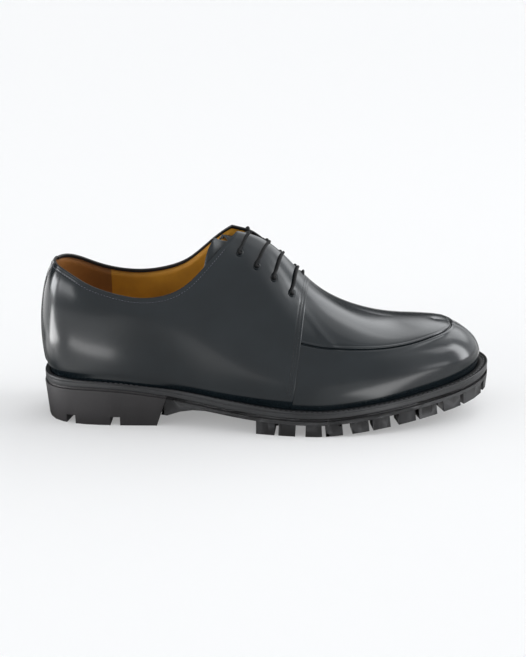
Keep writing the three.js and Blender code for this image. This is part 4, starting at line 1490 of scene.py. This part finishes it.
@dataclass
class SoleEdge:
    """The welt with its stitches, the midsole's edge, the tread and the heel."""

    columns: int = 720
    welt_pitch: float = 3.4
    top_from: int = 8
    rim_places: tuple = (0, 15, 25, 35, 50, 62, 75, 90, 110, 133, 150, 165, 185, 240, 262, 290)
    rim_drops: tuple = (0.3, 0.5, 1.2, 1.7, 1.9, 1.9, 1.4, 0.6, 0.2, 0.0, 0.6, 1.3, 1.5, 1.5, 1.2,
                        1.1)

    def build(self) -> list[Piece]:
        """Builds the swept bands and copies the moulded rubber with eased edges."""
        welt = self._welt()
        columns = len(welt.data.polygons) // self.columns
        row = np.arange(len(welt.data.polygons)) % columns
        # The welt's top rows get the near-black finish: ink and painted shade of the channel.
        top = (Finish.WELT_TOP, row >= self.top_from)
        pieces = [Piece(welt, Finish.WELT, "welting", ("welt",), top),
                  Piece(self._midsole(), Finish.WELT, "welting", ("midsole",)),
                  Piece(self._welt_threads(), Finish.WELT_THREAD, "cord")]
        for node, finish in (("outsole", Finish.RUBBER), ("heel", Finish.HEEL)):
            pieces.append(Piece(self._moulded(node), finish, "rubber", (node,)))
        return pieces

    def _sweep(self, profile: Callable[[Array], tuple[Array, Array]],
               name: str) -> bpy.types.Object:
        """Carries a closed profile round the sole's outline.

        Args:
            profile: Function of the place that gives the profile's distances outwards from the
                feather line and heights over the welt's top, one row per place.
            name: Name of the piece.

        Returns:
            The band.
        """
        u = np.linspace(0, AROUND, self.columns + 1)
        out, height = profile(u)
        flat = LAST.outline(u[:, None], out)
        level = LAST.welt_top(flat[..., 0])
        grid = np.concatenate([flat, (level + height)[..., None]], -1)
        grid = np.concatenate([grid, grid[:, :1]], 1)
        index = numbered(grid)
        index[-1] = index[0]
        index[:, -1] = index[:, 0]
        return add_mesh(name, grid.reshape(-1, 3), grid_faces(index), Grid(grid).uv())

    @staticmethod
    def _rounded(low: float, high: float, top: float, bottom: float) -> tuple[Array, Array]:
        """Half profile of an edge from its lower to its upper corner, both rounded."""
        a = np.radians(np.linspace(-90, 0, 5))
        b = np.radians(np.linspace(0, 90, 6))
        out = np.concatenate([bottom * (np.cos(a) - 1), top * (np.cos(b) - 1)])
        height = np.concatenate([low + bottom * (1 + np.sin(a)), high - top * (1 - np.sin(b))])
        return out, height

    def _drop(self, u: Array) -> Array:
        """How far the welt's outer rim lies under the feather line."""
        return np.interp(LAST.foot_x(u), self.rim_places, self.rim_drops)

    def _welt(self) -> bpy.types.Object:
        """Welt: a sunk stitch channel inside an eased rim that dips along the waist and toe."""
        s = SIZES

        def profile(u: Array) -> tuple[Array, Array]:
            """Edge from below, rim, channel and the inner corner."""
            width = LAST.welt(u)[:, None]
            drop = self._drop(u)[:, None]
            edge_out, edge_z = self._rounded(-s.welt_thick, 0.0, 0.6, 0.25)
            inside = s.gap + 0.1
            channel = np.array([0.84, 0.76, 0.68, 0.50, 0.42, 0.34])
            sink = np.array([-0.12, -0.55, -0.8, -0.8, -0.6, -0.5])
            span = width - inside
            out = np.concatenate([width + edge_out[None], inside + span * channel[None],
                                  inside + 0 * width, inside - 0.2 + 0 * width], 1)
            rim = edge_z[None] - drop * smooth(-s.welt_thick, 0.0, edge_z)[None]
            low = np.maximum(sink[None] - drop, 0.4 - s.welt_thick)
            z = np.concatenate([rim, low, low[:, -1:], 0 * drop - s.welt_thick], 1)
            return out, z

        return self._sweep(profile, "welt_strip")

    def _midsole(self) -> bpy.types.Object:
        """Midsole: a plain band with eased corners, open inwards under the insole."""
        s = SIZES
        high = -s.welt_thick - 0.06
        low = -s.welt_thick - s.gap - s.midsole_thick

        def profile(u: Array) -> tuple[Array, Array]:
            """Edge from below and the band's reach inwards."""
            edge_out, edge_z = self._rounded(low, high, 0.3, 0.7)
            width = LAST.welt(u)[:, None] - 0.1
            out = np.concatenate([width + edge_out[None], -9 + 0 * width, -9 + 0 * width], 1)
            z = np.concatenate([edge_z, [high, low]])[None] + 0 * out
            return out, z

        return self._sweep(profile, "midsole_band")

    def _welt_threads(self) -> bpy.types.Object:
        """Stitches along the welt's channel."""
        u = np.linspace(0, AROUND, 900)
        inside = SIZES.gap + 0.1
        flat = LAST.outline(u, inside + (LAST.welt(u) - inside) * 0.59)
        sink = np.maximum(-0.75 - self._drop(u), 0.45 - SIZES.welt_thick)
        path = np.column_stack([flat, LAST.welt_top(flat[:, 0]) + sink])
        up = np.tile([0.0, 0.0, 1.0], (len(u), 1))
        return add_mesh("welt_threads", *stitches(path, up, self.welt_pitch, 0.42, 0.0, 0.8))

    @staticmethod
    def _moulded(node: str) -> bpy.types.Object:
        """A copy of a rubber node, its corners merged and its edges eased."""
        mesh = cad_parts[node].data.copy()
        piece = bpy.data.objects.new(f"{node}_rubber", mesh)
        bpy.context.scene.collection.objects.link(piece)
        weld = piece.modifiers.new("weld", "WELD")
        weld.merge_threshold = 0.00002
        ease = piece.modifiers.new("ease", "BEVEL")
        ease.width = 0.0005
        ease.segments = 2
        ease.limit_method = "ANGLE"
        ease.angle_limit = math.radians(40)
        ease.use_clamp_overlap = True
        mesh.polygons.foreach_set("use_smooth", np.ones(len(mesh.polygons), bool))
        mesh.set_sharp_from_angle(angle=math.radians(50))
        return piece


# Stage: camera, floor and light


@dataclass(frozen=True)
class Glow:
    """One soft light in the room, by direction: 0 is to the toe and 90 away from the camera."""

    azimuth: float
    rise: float
    half_width: float
    half_height: float
    soft: float
    power: float

    def shine(self, graph: Graph, x: Value, y: Value, rise: Value) -> Value:
        """Power inside the light's window, in azimuth measured from its own middle."""
        a = math.radians(self.azimuth)
        turned = graph.math("ARCTAN2", y * math.cos(a) - x * math.sin(a),
                            x * math.cos(a) + y * math.sin(a))
        soft = math.radians(self.soft)
        wide = graph.window(turned, math.radians(self.half_width), soft)
        high = graph.window(rise - math.radians(self.rise), math.radians(self.half_height), soft)
        return wide * high * self.power


@dataclass(frozen=True)
class Sheen:
    """One soft patch of painted reflection: glow on the floor that only glossy rays see, placed in
    the heel-back frame in mm.
    """

    x: float
    y: float
    half_length: float
    half_width: float
    soft: float
    power: float
    turn: float = 0.0

    def shine(self, graph: Graph, x: Value, y: Value) -> Value:
        """Power inside the patch's window, in its own turned coordinates."""
        c, s = math.cos(math.radians(self.turn)), math.sin(math.radians(self.turn))
        dx, dy = x - self.x, y - self.y
        long = graph.window(dx * c + dy * s, self.half_length, self.soft)
        wide = graph.window(dy * c - dx * s, self.half_width, self.soft)
        return long * wide * self.power


@dataclass
class Studio:
    """Camera at the photograph's angle, pale floor and soft lights.

    The world and the floor's sheen carry soft-edged patches where the photograph's leather
    reflects bright or dark surroundings; a negative power stands for a dark one. Only glossy
    rays see the floor's patches. The camera sees the floor plain and pale.
    """

    elevation: float = 17.5
    distance: float = 960.0
    focal: float = 1414.0
    target: tuple = (150.0, 0.0, 50.0)
    pixel: tuple = (266.5, 338.0)
    middle: tuple = (263.0, 328.5)
    height_px: float = 657.0
    room: float = 0.58
    # Power of the painted reflection glow over the whole floor, seen only by glossy rays.
    table: float = 0.5
    darkest: float = 0.06
    floor_tone: float = 0.6
    floor_lift: float = 0.28
    glows: tuple[Glow, ...] = (
        Glow(4, 30, 56, 40, 24, 0.45),
        Glow(2, 13, 11, 31, 8, 5.6),
        Glow(58, 37, 24, 18, 10, 1.6),
        Glow(-18, 43, 12, 8, 6, 1.9),
        Glow(-141, 15, 21, 9, 7, 2.8),
        Glow(-168, 13, 14, 8, 10, 1.2),
        Glow(173, 0, 14, 16, 5, 7.8),
        Glow(-36, 2, 7, 6, 5, 2.0),
        Glow(112, 2, 43, 16, 10, -0.55),
    )
    # Patches of the floor's painted reflection; a negative power paints a dark one.
    sheens: tuple[Sheen, ...] = (
        Sheen(-540, -100, 560, 900, 90, 0.7),
        Sheen(560, -100, 365, 900, 80, 0.4),
        Sheen(-40, -184, 62, 28, 14, 3.6),
        Sheen(430, -222, 225, 30, 24, 2.9, -30),
        Sheen(-480, -50, 330, 66, 30, 8.5),
        Sheen(-140, 10, 50, 75, 50, 1.2),
        Sheen(-40, 150, 110, 190, 60, -1.0),
        Sheen(420, 150, 60, 190, 60, -0.4),
    )
    tint: tuple = (0.985, 1.0, 1.02, 1.0)
    lamp_place: tuple = (0.57, 0.4, 1.21)
    lamp_side: float = 0.8
    lamp_power: float = 0.8

    def build(self) -> None:
        """Sets the camera, the floor and the light."""
        self._camera()
        self._floor()
        self._world()
        self._lamp()
        view = bpy.context.scene.view_settings
        view.view_transform = "Standard"
        view.look = "None"

    def _camera(self) -> None:
        """Camera that puts the target at its pixel."""
        e = math.radians(self.elevation)
        forward = np.array([0, math.cos(e), -math.sin(e)])
        right = np.array([1.0, 0, 0])
        up = np.cross(right, forward)
        du = (self.pixel[0] - self.middle[0]) / self.focal
        dv = (self.middle[1] - self.pixel[1]) / self.focal
        at = np.array(self.target) - self.distance * (forward + du * right + dv * up)
        data = bpy.data.cameras.new("camera")
        data.sensor_fit = "AUTO"
        data.sensor_width = 36.0
        data.lens = self.focal * 36.0 / self.height_px
        data.clip_start, data.clip_end = 0.01, 100.0
        camera = bpy.data.objects.new("camera", data)
        turn = np.eye(4)
        turn[:3, 0], turn[:3, 1], turn[:3, 2] = right, up, -forward
        turn[:3, 3] = (at + PLACE) * MM
        camera.matrix_world = Matrix(turn.tolist())
        bpy.context.scene.collection.objects.link(camera)
        bpy.context.scene.camera = camera

    def _floor(self) -> None:
        """A pale floor with painted reflections: for glossy rays it glows in soft patches that
        stand in for side lights seen in the leather's underside.
        """
        mesh = bpy.data.meshes.new("floor")
        far = 12
        corners = [(-far, -far, 0), (far, -far, 0), (far, far, 0), (-far, far, 0)]
        mesh.from_pydata(corners, [], [(0, 1, 2, 3)])
        floor = bpy.data.objects.new("floor", mesh)
        bpy.context.scene.collection.objects.link(floor)
        d = Dress("floor")
        d.finish(Base_Color=colour(*[self.floor_tone] * 3), Roughness=0.9,
                 Specular_IOR_Level=0.2, Emission_Color=colour(1, 1, 1),
                 Emission_Strength=self.floor_lift)
        x = d.part("X") / MM - PLACE[0]
        y = d.part("Y") / MM - PLACE[1]
        # Painted reflection: the floor's glow plus its patches, for glossy rays only.
        power: Number = self.table
        for sheen in self.sheens:
            power = sheen.shine(d, x, y) + power
        strength = d.math("MAXIMUM", power, self.darkest)
        glow = d.node("ShaderNodeEmission", {}, {"Strength": strength})
        # Glossy rays see the painted glow in place of the floor's own shader.
        ray = d.node("ShaderNodeLightPath", out="Is Glossy Ray")
        mix = d.node("ShaderNodeMixShader", {}, {0: ray})
        d.tree.links.new(d.shader.outputs[0], mix.socket.node.inputs[1])
        d.tree.links.new(glow.socket, mix.socket.node.inputs[2])
        d.tree.links.new(mix.socket, d.output.inputs[0])
        mesh.materials.append(d.material)

    def _lamp(self) -> None:
        """The soft box over the toe's far side."""
        data = bpy.data.lights.new("overhead", "AREA")
        data.shape = "SQUARE"
        data.size = self.lamp_side
        data.energy = self.lamp_power
        lamp = bpy.data.objects.new("overhead", data)
        lamp.location = self.lamp_place
        lamp.rotation_mode = "QUATERNION"
        lamp.rotation_quaternion = (-Vector(self.lamp_place)).to_track_quat("-Z", "Y")
        bpy.context.scene.collection.objects.link(lamp)

    def _world(self) -> None:
        """A dim room with soft boxes round and above the shoe."""
        world = bpy.data.worlds.new("studio")
        bpy.context.scene.world = world
        world.use_nodes = True
        g = Graph(world.node_tree, "Generated")
        x, y, z = g.part("X"), g.part("Y"), g.part("Z")
        rise = g.math("ARCSINE", z)
        power: Number = self.room
        for glow in self.glows:
            power = glow.shine(g, x, y, rise) + power
        power = g.math("MAXIMUM", power, self.darkest)
        back = g.node("ShaderNodeBackground", {}, {"Color": self.tint, "Strength": power})
        output = g.tree.nodes.new("ShaderNodeOutputWorld")
        g.tree.links.new(back.socket, output.inputs[0])


def main() -> None:
    """Builds each sub-assembly in order and reports its pieces."""
    logging.basicConfig(level=logging.INFO, format="%(message)s")
    Studio().build()
    for assembly in (Quarters(), Vamp(), Lining(), Tongue(), Laces(), SoleEdge()):
        for piece in assembly.build():
            piece.settle()


if __name__ == "__main__":
    main()
